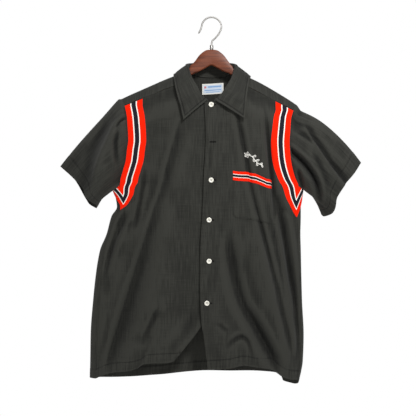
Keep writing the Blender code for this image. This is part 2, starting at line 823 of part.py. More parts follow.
def make_back(cloth, tape):
    """The back, and the tape's rear branches along its armholes."""
    length = SIDES[-1].drop - BACK_TOP_DROP
    drops = np.concatenate(
        [
            np.linspace(BACK_TOP_DROP, 355, 6),
            ARMPIT_TURN_ROWS,
            np.linspace(ARMPIT_DROP, TRIM_TIP_DROP, 6)[1:],
            np.linspace(TRIM_TIP_DROP, SIDES[-1].drop, 13)[1:],
        ]
    )
    down = (drops - BACK_TOP_DROP) / length
    columns, taped_columns = back_columns(drops)
    gap = SEAM_GAP / BACK_GIRTH
    u = np.clip(columns, gap, 1 - gap)
    v = np.repeat(down[:, None], columns.shape[1], axis=1)
    v[0] = SEAM_GAP / length
    wall("back", back_surface(u, v), outward(back_surface, u, v, 1), CLOTH, cloth)

    taped = drops <= TRIM_TIP_DROP
    v = v[taped, :taped_columns]
    v[0] = TAPE_END_GAP / length
    near = columns[taped, :taped_columns].copy()
    near[-1] *= tape_width(TRIM_TIP_DROP) / TIP_SQUEEZE
    away = ease((ARMPIT_TURN_DROP - drops[taped]) / 20)
    near = np.maximum(near, mix(SEAM_GAP, TRIM_INSET, away)[:, None] / BACK_GIRTH)
    turned = ease((drops[taped] - TRIM_TURN_DROP) / 15)
    lift = (CLOTH + TAPE) / 2 + LAID_GAP + TRIM_TURN_LIFT * turned
    lift[-2:] += TRIM_TIP_LIFT
    for name, u in (("right", near), ("left", 1 - near[:, ::-1])):
        net, normals = back_surface(u, v), outward(back_surface, u, v, 1)
        wall(f"trim_back_{name}", net, normals, TAPE, tape, lift=lift[:, None, None])


def make_yoke(cloth):
    stations = np.arange(YOKE_TURNS + 1)
    u = np.sort(np.concatenate([stations, stations[:-1] + 0.5])) / YOKE_TURNS
    v = inset(np.linspace(0, 1, 8), SEAM_GAP, 150)
    panel("yoke", YOKE, u, v, -1, CLOTH, cloth)


def make_label(woven):
    """The label inside the yoke, on the yoke's own points."""
    def place(u, v):
        u, v = np.broadcast_arrays(np.asarray(u, float), np.asarray(v, float))
        x = mix(LABEL_X[0], LABEL_X[1], u)
        drop = mix(LABEL_DROP[0], LABEL_DROP[1], v)
        low, high = np.full(x.shape, 0.3), np.full(x.shape, 0.7)
        out = np.zeros(x.shape)
        for _ in range(30):
            turn = (low + high) / 2
            inner, outer = YOKE(turn, 0.0), YOKE(turn, 1.0)
            out = (-drop - inner[..., 2]) / (outer[..., 2] - inner[..., 2])
            right = mix(inner[..., 0], outer[..., 0], out) < x
            low, high = np.where(right, turn, low), np.where(right, high, turn)
        return YOKE((low + high) / 2, out)

    panel(
        "label", place, np.linspace(0, 1, 5), np.linspace(0, 1, 3), -1, LABEL_CLOTH, woven,
        lift=(CLOTH + LABEL_CLOTH) / 2 + PIECE_GAP,
    )


def make_sleeves(cloth):
    for name, front, rim, shape in (
        ("left", FRONT_LEFT, HEM_LEFT, SLEEVE_LEFT),
        ("right", FRONT_RIGHT, HEM_RIGHT, SLEEVE_RIGHT),
    ):
        surface = sleeve_surface(front, rim, shape)
        u = np.linspace(0, 1, 31)[:-1]
        v = np.concatenate([[SLEEVE_GAP / 150, 0.06], np.linspace(0.14, 1, 9)])
        u, v = np.meshgrid(u, v)
        net, normals = surface(u, v), outward(surface, u, v, front.side)
        wall(f"sleeve_{name}", net, normals, CLOTH, cloth, around=True)


def make_collar(cloth):
    """One wall from the right front end, round the back, to the left one."""
    rows = np.concatenate([collar_sections(COLLAR_RIGHT), collar_sections(COLLAR_LEFT)[-2::-1]])
    keys = np.arange(len(rows))
    at = np.linspace(0, len(rows) - 1, 2 * len(rows) - 1)
    net = np.stack(
        [
            np.stack([smooth(keys, rows[:, c, axis], at) for axis in range(3)], axis=-1)
            for c in range(rows.shape[1])
        ],
        axis=1,
    )
    along = np.gradient(net, axis=0)
    over = np.gradient(net, axis=1)
    normals = np.cross(along, over)
    normals = normals / np.linalg.norm(normals, axis=-1, keepdims=True)
    wall("collar", net, normals, COLLAR_CLOTH, cloth)


def on_left_front(surface, out, drop):
    """The left front's u and v at a distance out from the centre and a drop."""
    front = FRONT_LEFT
    u, v = np.full(np.shape(out), 0.5), np.full(np.shape(out), 0.3)
    for _ in range(12):
        inner_drop = mix(front.inner[0].drop, front.inner[-1].drop, v)
        outer_drop = mix(front.outer[0].drop, front.outer[-1].drop, v)
        inner = read(front.inner, "drop", "out", inner_drop)
        outer = read(front.outer, "drop", "out", outer_drop)
        u = (out - inner) / (outer - inner)
        top = -surface(u, 0.0)[..., 2]
        hem = -surface(u, 1.0)[..., 2]
        v = (drop - top) / (hem - top)
    return u, v


def make_pocket(cloth, tape):
    """The patch pocket and the tape on its mouth, laid on the left front."""
    surface = front_surface(FRONT_LEFT)
    a, b, c, d = (np.array(corner, float) for corner in POCKET)

    def patch(u, v):
        u, v = np.broadcast_arrays(np.asarray(u, float), np.asarray(v, float))
        flat = mix(
            mix(a, b, u[..., None]), mix(d, c, u[..., None]), v[..., None]
        )
        return surface(*on_left_front(surface, flat[..., 0], flat[..., 1]))

    tall = np.linalg.norm(d - a)
    across = np.linspace(0, 1, 10)
    down = np.linspace(0, 1, 9)
    on_panel = CLOTH + LAID_GAP + PIECE_GAP
    panel("pocket", patch, across, down, -1, CLOTH, cloth, lift=on_panel)
    panel(
        "pocket_trim", patch, across, np.linspace(0.004, POCKET_TRIM_HEIGHT / tall, 4), -1, TAPE, tape,
        lift=on_panel + (CLOTH + TAPE) / 2 + PIECE_GAP,
    )


def make_buttons(plastic):
    """Turned discs with a raised rim, each seated on the left front."""
    surface = front_surface(FRONT_LEFT)
    for number, place in enumerate(BUTTONS, 1):
        u, v = on_left_front(surface, np.array(float(place.out)), np.array(float(place.drop)))
        point = surface(u, v)
        y = float(point[1]) - CLOTH / 2 - BUTTON_GAP
        disc = bmesh.new()
        bmesh.ops.create_cone(
            disc, cap_ends=True, segments=BUTTON_SIDES, radius1=BUTTON_RADIUS,
            radius2=BUTTON_RADIUS, depth=BUTTON_THICK,
        )
        face = max(disc.faces, key=lambda each: each.normal.z)
        bmesh.ops.inset_region(disc, faces=[face], thickness=1.1)
        bmesh.ops.translate(disc, vec=(0, 0, -0.7), verts=face.verts)
        rim = [edge for edge in disc.edges if all(abs(p.co.xy.length - BUTTON_RADIUS) < 0.01
                                                  for p in edge.verts)
               and abs(edge.verts[0].co.z - edge.verts[1].co.z) < 0.01]
        bmesh.ops.bevel(disc, geom=rim, offset=0.5, segments=1, affect="EDGES")
        points = [(p.co.x + place.out, y - BUTTON_THICK / 2 - p.co.z, p.co.y - place.drop)
                  for p in disc.verts]
        disc.verts.index_update()
        faces = [[p.index for p in each.verts] for each in disc.faces]
        disc.free()
        add(f"button_{number}", points, faces, plastic, 40)


def make_hanger(wood, metal):
    """The wooden arms, cut from flat board with rounded edges, the ferrule and the wire hook."""
    x = np.concatenate(
        [np.linspace(-216, -60, 9), np.linspace(-54, 54, 15), np.linspace(60, 206, 9)]
    )
    top = read(HANGER_ARMS, "x", "top", x)
    bottom = read(HANGER_ARMS, "x", "bottom", x)
    sections = []
    for at, high, low in zip(x, top, bottom):
        tip = min(1.0, 0.55 + 0.45 * min(at + 216, 206 - at) / 12)
        half_y = HANGER_HALF_THICK * tip
        cut = min(3.0, 0.35 * (low - high))
        outline = [
            (-half_y, high + cut), (-half_y + 1.2, high + cut * 0.35), (-half_y + 3, high),
            (half_y - 3, high), (half_y - 1.2, high + cut * 0.35), (half_y, high + cut),
            (half_y, low - cut), (half_y - 1.6, low), (-half_y + 1.6, low), (-half_y, low - cut),
        ]
        sections.append(np.array([(at, y, -drop) for y, drop in outline]))
    rings("hanger_wood", sections, wood)

    angle = np.linspace(math.radians(-8), math.radians(172), 19)
    arc = [(HOOK_RADIUS * math.cos(a), HOOK_RADIUS * (math.sin(a) - 1) + WIRE_RADIUS) for a in angle]
    route = [(0, -HOOK_FOOT_DROP)] + HOOK_BENDS[::-1] + arc + HOOK_MOUTH
    curve = bpy.data.curves.new("hanger_hook", "CURVE")
    curve.dimensions = "3D"
    curve.bevel_depth = WIRE_RADIUS * MM
    curve.bevel_resolution = 2
    curve.use_fill_caps = True
    line = curve.splines.new("POLY")
    line.points.add(len(route) - 1)
    for point, (px, pz) in zip(line.points, route):
        point.co = (px * MM, 0, pz * MM, 1)
    line.use_smooth = True
    curve.materials.append(metal)
    bpy.context.scene.collection.objects.link(bpy.data.objects.new("hanger_hook", curve))

    bore = WIRE_RADIUS + PIECE_GAP
    top, foot = -FERRULE_DROP[0], -FERRULE_DROP[1]
    profile = [
        (bore, top), (FERRULE_RADIUS - 1, top), (FERRULE_RADIUS, top - 1.5), (FERRULE_RADIUS, foot),
        (bore, foot),
    ]
    turned = bmesh.new()
    points = [turned.verts.new((r, 0, z)) for r, z in profile]
    edges = [turned.edges.new(pair) for pair in zip(points, points[1:] + points[:1])]
    bmesh.ops.spin(
        turned, geom=points + edges, cent=(0, 0, 0), axis=(0, 0, 1), angle=2 * math.pi, steps=20,
        use_merge=True,
    )
    bmesh.ops.remove_doubles(turned, verts=turned.verts, dist=0.001)
    bmesh.ops.recalc_face_normals(turned, faces=turned.faces)
    turned.verts.index_update()
    ring = [tuple(p.co) for p in turned.verts]
    faces = [[p.index for p in face.verts] for face in turned.faces]
    turned.free()
    add("hanger_ferrule", ring, faces, metal, 40)


def main():
    for old in list(bpy.data.objects):
        bpy.data.objects.remove(old, do_unlink=True)
    cloth = material("shirting", BLACK, 0.85)
    tape = material("striped_tape", RED, 0.8)
    woven = material("woven_label", (0.8, 0.8, 0.78), 0.8)
    plastic = material("button_plastic", (0.72, 0.7, 0.6), 0.3)
    wood = material("hanger_wood", (0.16, 0.05, 0.03), 0.4)
    metal = material("hook_wire", (0.6, 0.6, 0.58), 0.25, 1.0)
    make_fronts(cloth, tape)
    make_back(cloth, tape)
    make_yoke(cloth)
    make_label(woven)
    make_sleeves(cloth)
    make_collar(cloth)
    make_pocket(cloth, tape)
    make_buttons(plastic)
    make_hanger(wood, metal)


main()
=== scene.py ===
"""A bowling shirt buttoned up on a flat wooden hanger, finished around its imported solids.

The frame is the hook's: the origin is where it bears on a rail, +Z is up and the front faces -Y.
Shapes are worked out in millimetres. "Drop" is a distance below the rail, "out" one from the centre
line towards the side, and sides are the wearer's, so the left front is at +X.
"""

import math
from collections import namedtuple

import bmesh
import bpy
import mathutils
import numpy as np
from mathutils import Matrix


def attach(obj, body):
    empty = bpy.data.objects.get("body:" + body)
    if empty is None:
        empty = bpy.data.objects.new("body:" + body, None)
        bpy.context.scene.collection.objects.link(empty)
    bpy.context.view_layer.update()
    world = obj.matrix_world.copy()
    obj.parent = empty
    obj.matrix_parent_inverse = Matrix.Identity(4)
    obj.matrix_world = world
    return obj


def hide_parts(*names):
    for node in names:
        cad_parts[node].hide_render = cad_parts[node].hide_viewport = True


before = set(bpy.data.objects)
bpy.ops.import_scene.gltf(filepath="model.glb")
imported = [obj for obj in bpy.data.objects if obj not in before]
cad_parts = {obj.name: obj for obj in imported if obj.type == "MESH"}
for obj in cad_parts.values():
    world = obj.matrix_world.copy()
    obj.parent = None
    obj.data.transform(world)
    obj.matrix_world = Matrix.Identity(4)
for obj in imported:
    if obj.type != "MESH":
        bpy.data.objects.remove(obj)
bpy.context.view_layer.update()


# ---------------------------------------------------------------- the fronts
# Two panels of black rayon gabardine, cut straight down the front edge. The left one laps over the
# right one, and both are hemmed by machine. They hang in long soft folds from the yoke seam.

MM = 0.001
CLOTH = 0.8            # thickness of one layer
TURNED_IN = 0.7        # what a hem or a facing adds to it
HEM = 22.0             # from the fold to the stitch line
SHOULDER_DROP = 60.0   # height over which the chest comes forward from the yoke seam
ARMPIT_DROP = 412.0
TURN_ABOVE = 2.6       # how squarely a front turns to its side above the armpit
TURN_BELOW = 4.2       # and below it

# Edges go down a panel and lines across it. Y is the depth, less than 0 in front of the hanger.
Edge = namedtuple("Edge", "drop out y")
Line = namedtuple("Line", "out drop y")
# Folds and creases go down through three places. Width is half their breadth, depth how far in they go.
Fold = namedtuple("Fold", "out_top drop_top out_mid drop_mid out_low drop_low width depth")
Crease = namedtuple("Crease", (*Fold._fields, "lean"), defaults=(0,))
Front = namedtuple("Front", "side inner outer top hem folds creases")

FRONT_LEFT = Front(
    side=1,
    inner=[
        Edge(212, -17, -43.5),
        Edge(298, -14, -44),
        Edge(377, -18, -44.5),
        Edge(456, -21, -45),
        Edge(580, -27, -46),
        Edge(664, -27, -47),
        Edge(732, -25, -47.5),
        Edge(777, -18, -48),
        Edge(851, -9, -48),
    ],
    outer=[
        Edge(229, 199, -16),
        Edge(249, 193, -22),
        Edge(275, 190, -26),
        Edge(306, 188, -27),
        Edge(339, 190, -27),
        Edge(364, 194, -25),
        Edge(391, 202, -21),
        Edge(412, 210, -17),
        Edge(446, 205, -17),
        Edge(470, 205, -17),
        Edge(531, 210, -15),
        Edge(689, 215, -15),
        Edge(786, 217, -15),
        Edge(883, 210, -13),
    ],
    top=[
        Line(-17, 212, -43.5),
        Line(10, 211, -42),
        Line(34, 198, -37),
        Line(50, 181, -30),
        Line(64, 160, -21),
    ],
    hem=[
        Line(-9, 851, -48),
        Line(44, 847, -47),
        Line(76, 841, -48),
        Line(106, 845, -46),
        Line(140, 850, -42),
        Line(171, 871, -36),
        Line(191, 879, -26),
        Line(210, 883, -13),
    ],
    folds=[
        Fold(74, 250, 92, 370, 112, 520, 26, 5),
        Fold(134, 205, 148, 380, 160, 560, 24, 6),
        Fold(160, 560, 196, 660, 205, 790, 24, 6),
        Fold(42, 530, 88, 700, 142, 825, 32, 13),
        Fold(112, 520, 150, 660, 186, 820, 26, -5),
    ],
    creases=[
        Crease(56, 215, 80, 335, 102, 455, 6, 8),
        Crease(86, 380, 126, 541, 158, 670, 6, 10),
        Crease(138, 580, 170, 720, 204, 852, 8, 8),
        Crease(128, 210, 142, 383, 161, 540, 5.5, 13, 0.2),
        Crease(146, 370, 181, 573, 207, 730, 8, 19, 0.2),
        Crease(196, 620, 209, 740, 213, 850, 8, 11),
        Crease(132, 420, 164, 600, 198, 800, 24, 8),
        Crease(45, 505, 58, 650, 110, 766, 11, 12),
        Crease(74, 690, 125, 788, 176, 880, 12, 19),
        Crease(30, 804, 76, 774, 98, 826, 5.5, 5),
        Crease(14, 738, 26, 750, 40, 760, 5, 2),
        Crease(164, 464, 180, 474, 196, 492, 7, 3),
        Crease(-8, 312, -4, 345, -9, 388, 6, 1.6),
        Crease(77, 836, 75, 846, 78, 860, 4, 1.6),
    ],
)

FRONT_RIGHT = Front(
    side=-1,
    inner=[
        Edge(212, -11, -38.5),
        Edge(446, -6, -37.5),
        Edge(662, -3, -36.5),
        Edge(704, 9, -37),
        Edge(747, 25, -38.5),
        Edge(790, 57, -42),
        Edge(829, 90, -50),
    ],
    outer=[
        Edge(217, 211, -16),
        Edge(253, 204, -24),
        Edge(302, 201, -27),
        Edge(326, 204, -27),
        Edge(350, 207, -26),
        Edge(374, 214, -23),
        Edge(398, 221, -18),
        Edge(412, 222, -17),
        Edge(436, 214, -19),
        Edge(456, 213, -19),
        Edge(471, 221, -19),
        Edge(499, 236, -20),
        Edge(567, 258, -20),
        Edge(688, 272, -22),
        Edge(784, 277, -22),
        Edge(878, 280, -20),
    ],
    top=[
        Line(-11, 212, -38.5),
        Line(10, 212, -39),
        Line(36, 198, -36),
        Line(50, 180, -29),
        Line(62, 159, -21),
    ],
    hem=[
        Line(90, 829, -52),
        Line(105, 832, -56),
        Line(138, 833, -57),
        Line(162, 836, -55),
        Line(178, 847, -50),
        Line(199, 854, -45),
        Line(225, 857, -42),
        Line(256, 865, -36),
        Line(280, 878, -20),
    ],
    folds=[
        Fold(168, 360, 176, 480, 226, 530, 28, 8),
        Fold(144, 520, 205, 690, 250, 835, 36, 12),
        Fold(226, 540, 262, 620, 268, 680, 24, 5),
        Fold(126, 700, 150, 745, 176, 790, 24, 4),
        Fold(110, 420, 120, 600, 150, 800, 40, -5),
    ],
    creases=[
        Crease(66, 235, 98, 345, 130, 465, 11, 6, -0.5),
        Crease(108, 385, 162, 557, 204, 690, 13, 8, -0.5),
        Crease(170, 590, 222, 750, 262, 885, 15, 11, -0.5),
        Crease(158, 362, 174, 445, 188, 530, 5, 5, -0.3),
        Crease(192, 462, 236, 548, 264, 650, 9, 9, 0.3),
        Crease(204, 466, 222, 496, 244, 520, 7, 3),
        Crease(122, 690, 146, 740, 172, 800, 6, 3.5, -0.3),
        Crease(30, 700, 70, 770, 120, 820, 12, 3),
    ],
)


def mix(a, b, t):
    """What lies this share of the way from one value to another."""
    return a + (b - a) * t


def ease(t):
    """0 to 1 with level ends."""
    t = np.clip(t, 0, 1)
    return t * t * (3 - 2 * t)


def smooth(keys, values, at):
    """A curve through the rows that never swings past them."""
    keys, values = np.asarray(keys, float), np.asarray(values, float)
    at = np.clip(at, keys[0], keys[-1])
    step = np.diff(keys)
    rise = np.diff(values) / step
    slope = np.empty(len(values))
    slope[0], slope[-1] = rise[0], rise[-1]
    before, after = rise[:-1], rise[1:]
    same_way = before * after > 0
    total = np.where(same_way, before + after, 1)
    slope[1:-1] = np.where(same_way, 2 * before * after / total, 0)
    row = np.clip(np.searchsorted(keys, at) - 1, 0, len(step) - 1)
    t = (at - keys[row]) / step[row]
    start, end = slope[row] * step[row], slope[row + 1] * step[row]
    return (
        values[row] * (1 + 2 * t) * (1 - t) ** 2
        + start * t * (1 - t) ** 2
        + values[row + 1] * t * t * (3 - 2 * t)
        - end * t * t * (1 - t)
    )


def read(rows, key, column, at):
    """One column of a table at places between its rows."""
    return smooth(
        [getattr(row, key) for row in rows], [getattr(row, column) for row in rows], at
    )


def sunk(folds, out, drop):
    """How far the folds push the cloth in at each place. A negative depth is a ridge."""
    total = np.zeros(np.shape(out))
    for fold in folds:
        t = np.clip((drop - fold.drop_top) / (fold.drop_low - fold.drop_top), 0, 1)
        middle = (fold.drop_mid - fold.drop_top) / (fold.drop_low - fold.drop_top)
        bend = fold.out_mid - mix(fold.out_top, fold.out_low, middle)
        path = mix(fold.out_top, fold.out_low, t) + bend * t * (1 - t) / (middle * (1 - middle))
        length = fold.drop_low - fold.drop_top
        fade = ease((drop - fold.drop_top) / (0.3 * length))
        fade = fade * ease((fold.drop_low + 0.1 * length - drop) / (0.3 * length))
        total += fold.depth * fade * np.exp(-(((out - path) / fold.width) ** 2))
    return total


def creased(creases, out, drop):
    """How far narrower creases push it in. Each runs along a bent line, with a low ridge beside it,
    and leans: a positive lean makes it steep on the left of its way down and gentle on the right."""
    total = np.zeros(np.shape(out))
    t = np.linspace(0, 1, 150)
    for row in creases:
        line = [
            a * (1 - t) * (1 - 2 * t) + b * 4 * t * (1 - t) + c * t * (2 * t - 1)
            for a, b, c in (
                (row.out_top, row.out_mid, row.out_low), (row.drop_top, row.drop_mid, row.drop_low)
            )
        ]
        ahead = np.stack([np.gradient(line[0]), np.gradient(line[1])])
        ahead = ahead / np.linalg.norm(ahead, axis=0)
        off = out[..., None] - line[0], drop[..., None] - line[1]
        near = np.argmin(off[0] ** 2 + off[1] ** 2, axis=-1)
        off = [np.take_along_axis(each, near[..., None], axis=-1)[..., 0] for each in off]
        beside = (off[0] * ahead[1][near] - off[1] * ahead[0][near]) / row.width
        beside = beside / np.where(beside > 0, 1 + row.lean, 1 - row.lean)
        past = (off[0] * ahead[0][near] + off[1] * ahead[1][near]) / row.width
        fade = ease(t[near] / 0.35) * ease((1 - t[near]) / 0.35) * np.exp(-(past**2))
        ridges = 0.25 * np.exp(-((beside - 1.9) ** 2)) + 0.25 * np.exp(-((beside + 1.9) ** 2))
        total += row.depth * fade * (np.exp(-(beside**2)) - ridges)
    return total


def rumpled(out, drop, size, depth, seed):
    """The soft unevenness of washed cloth: crossed waves of about this size, longer down than across."""
    chance = np.random.default_rng(seed)
    waves = 14
    total = np.zeros(np.shape(out))
    for _ in range(waves):
        turn = chance.uniform(-1, 1)
        length = size * chance.uniform(0.6, 1.8)
        along = out * math.cos(turn) + drop * math.sin(turn) * 0.6
        total += np.sin(2 * math.pi * along / length + chance.uniform(0, 7))
    return depth * total / math.sqrt(waves)


def puckered(along, from_edge, line, seed):
    """A stitch line sinks a little, and the hem beside it is drawn into small ripples."""
    chance = np.random.default_rng(seed)
    ripple = np.zeros(np.shape(along))
    for length in (7.5, 11, 16):
        ripple += np.sin(2 * math.pi * along / length + chance.uniform(0, 7))
    sunk_line = 0.7 * np.exp(-(((from_edge - line) / 2.0) ** 2))
    return sunk_line + 0.2 * ripple * np.exp(-(((from_edge - line * 0.7) / (line * 0.6)) ** 2))


def front_plan(front, u, v):
    """Out and drop on a front over u, from its closing edge to its side, and v, from top to hem."""
    u, v = np.broadcast_arrays(np.asarray(u, float), np.asarray(v, float))
    inner_drop = mix(front.inner[0].drop, front.inner[-1].drop, v)
    outer_drop = mix(front.outer[0].drop, front.outer[-1].drop, v)
    inner = read(front.inner, "drop", "out", inner_drop)
    outer = read(front.outer, "drop", "out", outer_drop)
    top_out = mix(front.inner[0].out, front.outer[0].out, u)
    hem_out = mix(front.inner[-1].out, front.outer[-1].out, u)
    neck, tip = front.top[-1], front.outer[0]
    shoulder = np.clip((top_out - neck.out) / (tip.out - neck.out), 0, 1)
    top_drop = mix(read(front.top, "out", "drop", top_out), tip.drop, shoulder)
    top_y = mix(read(front.top, "out", "y", top_out), tip.y, shoulder)
    hem_drop = read(front.hem, "out", "drop", hem_out)
    edges = inner_drop, outer_drop, top_drop, top_y, hem_out, hem_drop
    return mix(inner, outer, u), mix(top_drop, hem_drop, v), edges


def front_surface(front):
    """A front over u and v as in its plan, with its depth, folds, creases and puckered hem."""

    def surface(u, v):
        u, v = np.broadcast_arrays(np.asarray(u, float), np.asarray(v, float))
        out, drop, edges = front_plan(front, u, v)
        inner_drop, outer_drop, top_drop, top_y, hem_out, hem_drop = edges
        turn = mix(TURN_ABOVE, TURN_BELOW, ease((outer_drop - ARMPIT_DROP + 40) / 80))
        y = mix(
            read(front.inner, "drop", "y", inner_drop),
            read(front.outer, "drop", "y", outer_drop),
            np.abs(u) ** turn,
        )
        y = mix(top_y, y, ease((drop - top_drop) / SHOULDER_DROP))
        y = mix(y, read(front.hem, "out", "y", hem_out), ease((v - 0.8) / 0.2))
        free = ease(v / 0.08) * ease(u / 0.12) * ease((1 - u) / 0.1)
        y = y + sunk(front.folds, out, drop) * free
        loose = ease(v / 0.05) * ease(u / 0.06) * ease((1 - u) / 0.06)
        y = y + creased(front.creases, out, drop) * loose
        y = y + rumpled(out, drop, 75, 1.0, 11 + front.side) * loose
        y = y + puckered(out, hem_drop - drop, HEM, 5 + front.side)
        return np.stack([front.side * out, y, -drop], axis=-1)

    return surface


def on_front(front, out, drop):
    """The u and v of places on a front."""
    out, drop = np.broadcast_arrays(np.asarray(out, float), np.asarray(drop, float))
    u, v = np.full(out.shape, 0.5), np.full(out.shape, 0.3)
    for _ in range(14):
        _, _, edges = front_plan(front, u, v)
        inner = read(front.inner, "drop", "out", edges[0])
        outer = read(front.outer, "drop", "out", edges[1])
        u = (out - inner) / (outer - inner)
        v = (drop - edges[2]) / (edges[5] - edges[2])
    return u, v


def facing(net, way, around=False):
    """Unit normals of a net of points."""
    if around:
        across = np.roll(net, -1, axis=1) - np.roll(net, 1, axis=1)
    else:
        across = np.gradient(net, axis=1)
    normal = np.cross(across, np.gradient(net, axis=0)) * way
    return normal / np.linalg.norm(normal, axis=-1, keepdims=True)


Sheet = namedtuple("Sheet", "points normals across down")


def between(net, row, column):
    """A place in a net of points, by straight lines between them."""
    row = np.clip(row, 0, net.shape[0] - 1)
    column = np.clip(column, 0, net.shape[1] - 1)
    low_row = np.minimum(row.astype(int), net.shape[0] - 2)
    low_column = np.minimum(column.astype(int), net.shape[1] - 2)
    a, b = (row - low_row)[..., None], (column - low_column)[..., None]
    top = mix(net[low_row, low_column], net[low_row, low_column + 1], b)
    low = mix(net[low_row + 1, low_column], net[low_row + 1, low_column + 1], b)
    return mix(top, low, a)


def on_sheet(sheet, u, v, lift):
    """Places this far out from a sheet, and its normals there."""
    u, v = np.broadcast_arrays(np.asarray(u, float), np.asarray(v, float))
    row = np.interp(v, sheet.down, np.arange(len(sheet.down)))
    column = np.interp(u, sheet.across, np.arange(len(sheet.across)))
    normals = between(sheet.normals, row, column)
    normals = normals / np.linalg.norm(normals, axis=-1, keepdims=True)
    return between(sheet.points, row, column) + normals * lift, normals


def add_piece(name, mesh, body, slot, *replaced):
    """An object of the mesh, fixed to the frame, in place of the imported parts it stands for. The slot is
    not used.
    """
    piece = bpy.data.objects.new(name, mesh)
    bpy.context.scene.collection.objects.link(piece)
    if replaced:
        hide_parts(*replaced)
    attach(piece, body)
    return piece


def raised(net, normals, around):
    """How far each point stands above its surroundings, from -1 in a crease to 1 on a ridge. It is used as
    painted shade in creases and painted light on ridges.
    """
    smoothed = net.copy()
    for _ in range(30):
        padded = np.pad(smoothed, ((1, 1), (0, 0), (0, 0)), mode="reflect", reflect_type="odd")
        smoothed = (padded[:-2] + 2 * smoothed + padded[2:]) / 4
        if around:
            smoothed = (np.roll(smoothed, 1, axis=1) + 2 * smoothed + np.roll(smoothed, -1, axis=1)) / 4
        else:
            padded = np.pad(smoothed, ((0, 0), (1, 1), (0, 0)), mode="reflect", reflect_type="odd")
            smoothed = (padded[:, :-2] + 2 * smoothed + padded[:, 2:]) / 4
    return np.tanh(np.einsum("ijk,ijk->ij", net - smoothed, normals) / 1.2)


def edge_light_and_groove_shade(from_edge, line):
    """Painted light and shade along a turned-in edge: a painted highlight on the edge itself and painted
    shade in the groove of its stitch line.
    """
    return 0.7 * ease((4.5 - from_edge) / 2) - 1.2 * np.exp(-(((from_edge - line) / 1.2) ** 2))


def cloth_mesh(name, net, normals, thick, finish, grain, around=False, added_light_and_shade=0.0):
    """A closed sheet: an outer and an inner skin over the net, joined at its edges. Grain is each
    point's place on the flat cloth, in millimetres, kept as the UV map in metres. Each point also
    carries painted light and shade for the colour: painted shade in creases and painted light on
    ridges, plus the painted light and shade that the caller adds."""
    rows, columns = net.shape[:2]
    half = np.broadcast_to(np.asarray(thick, float) / 2, net.shape[:2])[..., None]
    points = np.concatenate([(net + normals * side * half).reshape(-1, 3) for side in (1, -1)])
    r, c = np.mgrid[0 : rows - 1, 0 : columns - (0 if around else 1)]
    r, c = r.ravel(), c.ravel()
    around_face = [(r, c), (r, c + 1), (r + 1, c + 1), (r + 1, c)]
    quads = np.stack([i * columns + j % columns for i, j in around_face], axis=1)
    flat = np.asarray(grain, float)
    places = np.stack([flat[i, j] for i, j in around_face], axis=1)
    count = rows * columns
    faces, uvs = [quads, quads[:, ::-1] + count], [places, places[:, ::-1]]
    rims = [[(0, j) for j in range(columns + around)], [(rows - 1, j) for j in range(columns + around)]]
    if not around:
        rims += [[(i, 0) for i in range(rows)], [(i, columns - 1) for i in range(rows)]]
    for rim, turned in zip(rims, (False, True, True, False)):
        near = np.array([i * columns + j % columns for i, j in rim])
        at = np.array([flat[i, j] for i, j in rim])
        wall = np.stack([near[:-1], near[:-1] + count, near[1:] + count, near[1:]], axis=1)
        spread = np.stack([at[:-1], at[:-1], at[1:], at[1:]], axis=1)
        faces.append(wall[:, ::-1] if turned else wall)
        uvs.append(spread[:, ::-1] if turned else spread)
    faces, uvs = np.concatenate(faces), np.concatenate(uvs)
    mesh = bpy.data.meshes.new(name)
    mesh.from_pydata(points * MM, [], faces.tolist())
    mesh.uv_layers.new(name="grain").data.foreach_set("uv", (uvs * MM).ravel())
    painted_light_and_shade = mesh.attributes.new("painted_light_and_shade", "FLOAT", "POINT")
    # Painted light and shade: dark in creases, pale on ridges, plus the caller's painted edges.
    painted_light_and_shade.data.foreach_set("value", np.tile((raised(net, normals, around) + added_light_and_shade).ravel(), 2))
    volume = 0
    for corners in ((0, 1, 2), (0, 2, 3)):
        a, b, c = (points[faces[:, corner]] for corner in corners)
        volume += (a * np.cross(b, c)).sum()
    if volume < 0:
        mesh.flip_normals()
    mesh.materials.append(finish)
    mesh.shade_smooth()
    mesh.set_sharp_from_angle(angle=math.radians(70))
    return mesh


def add_node(tree, kind, values=(), **settings):
    """A node with its settings made, and each of its inputs set or joined to another's output."""
    made = tree.nodes.new(kind)
    for name, value in settings.items():
        setattr(made, name, value)
    for name, value in dict(values).items():
        if isinstance(value, bpy.types.NodeSocket):
            tree.links.new(value, made.inputs[name])
        else:
            made.inputs[name].default_value = value
    return made


def new_finish(name, roughness, **also):
    """A new material, its node tree and its shader, with the shader's values set."""
    made = bpy.data.materials.new(name)
    made.use_nodes = True
    shader = made.node_tree.nodes["Principled BSDF"]
    shader.inputs["Roughness"].default_value = roughness
    for socket, value in also.items():
        shader.inputs[socket.replace("_", " ")].default_value = value
    return made, made.node_tree, shader


def grain_at(tree, scale):
    """The piece's place on the flat cloth, stretched."""
    place = add_node(tree, "ShaderNodeUVMap", uv_map="grain")
    return add_node(tree, "ShaderNodeMapping", {"Vector": place.outputs[0], "Scale": scale}).outputs[0]


def colours(tree, amount, *stops):
    """A colour ramp with a stop for each (place, colour)."""
    ramp = add_node(tree, "ShaderNodeValToRGB", {"Fac": amount})
    while len(ramp.color_ramp.elements) < len(stops):
        ramp.color_ramp.elements.new(0.5)
    for element, (place, colour) in zip(ramp.color_ramp.elements, stops):
        element.position = place
        element.color = (*colour, 1)
    return ramp


def bands(tree, place, scale, direction, distortion=0.0):
    """Even bands across a place, for ribs and weaves."""
    values = {"Vector": place, "Scale": scale, "Distortion": distortion}
    return add_node(tree, "ShaderNodeTexWave", values, bands_direction=direction).outputs["Fac"]


def relief(tree, height, strength, distance, **under):
    """A bump from a height, on top of another one where that is given."""
    values = {"Height": height, "Strength": strength, "Distance": distance, **under}
    return add_node(tree, "ShaderNodeBump", values).outputs[0]


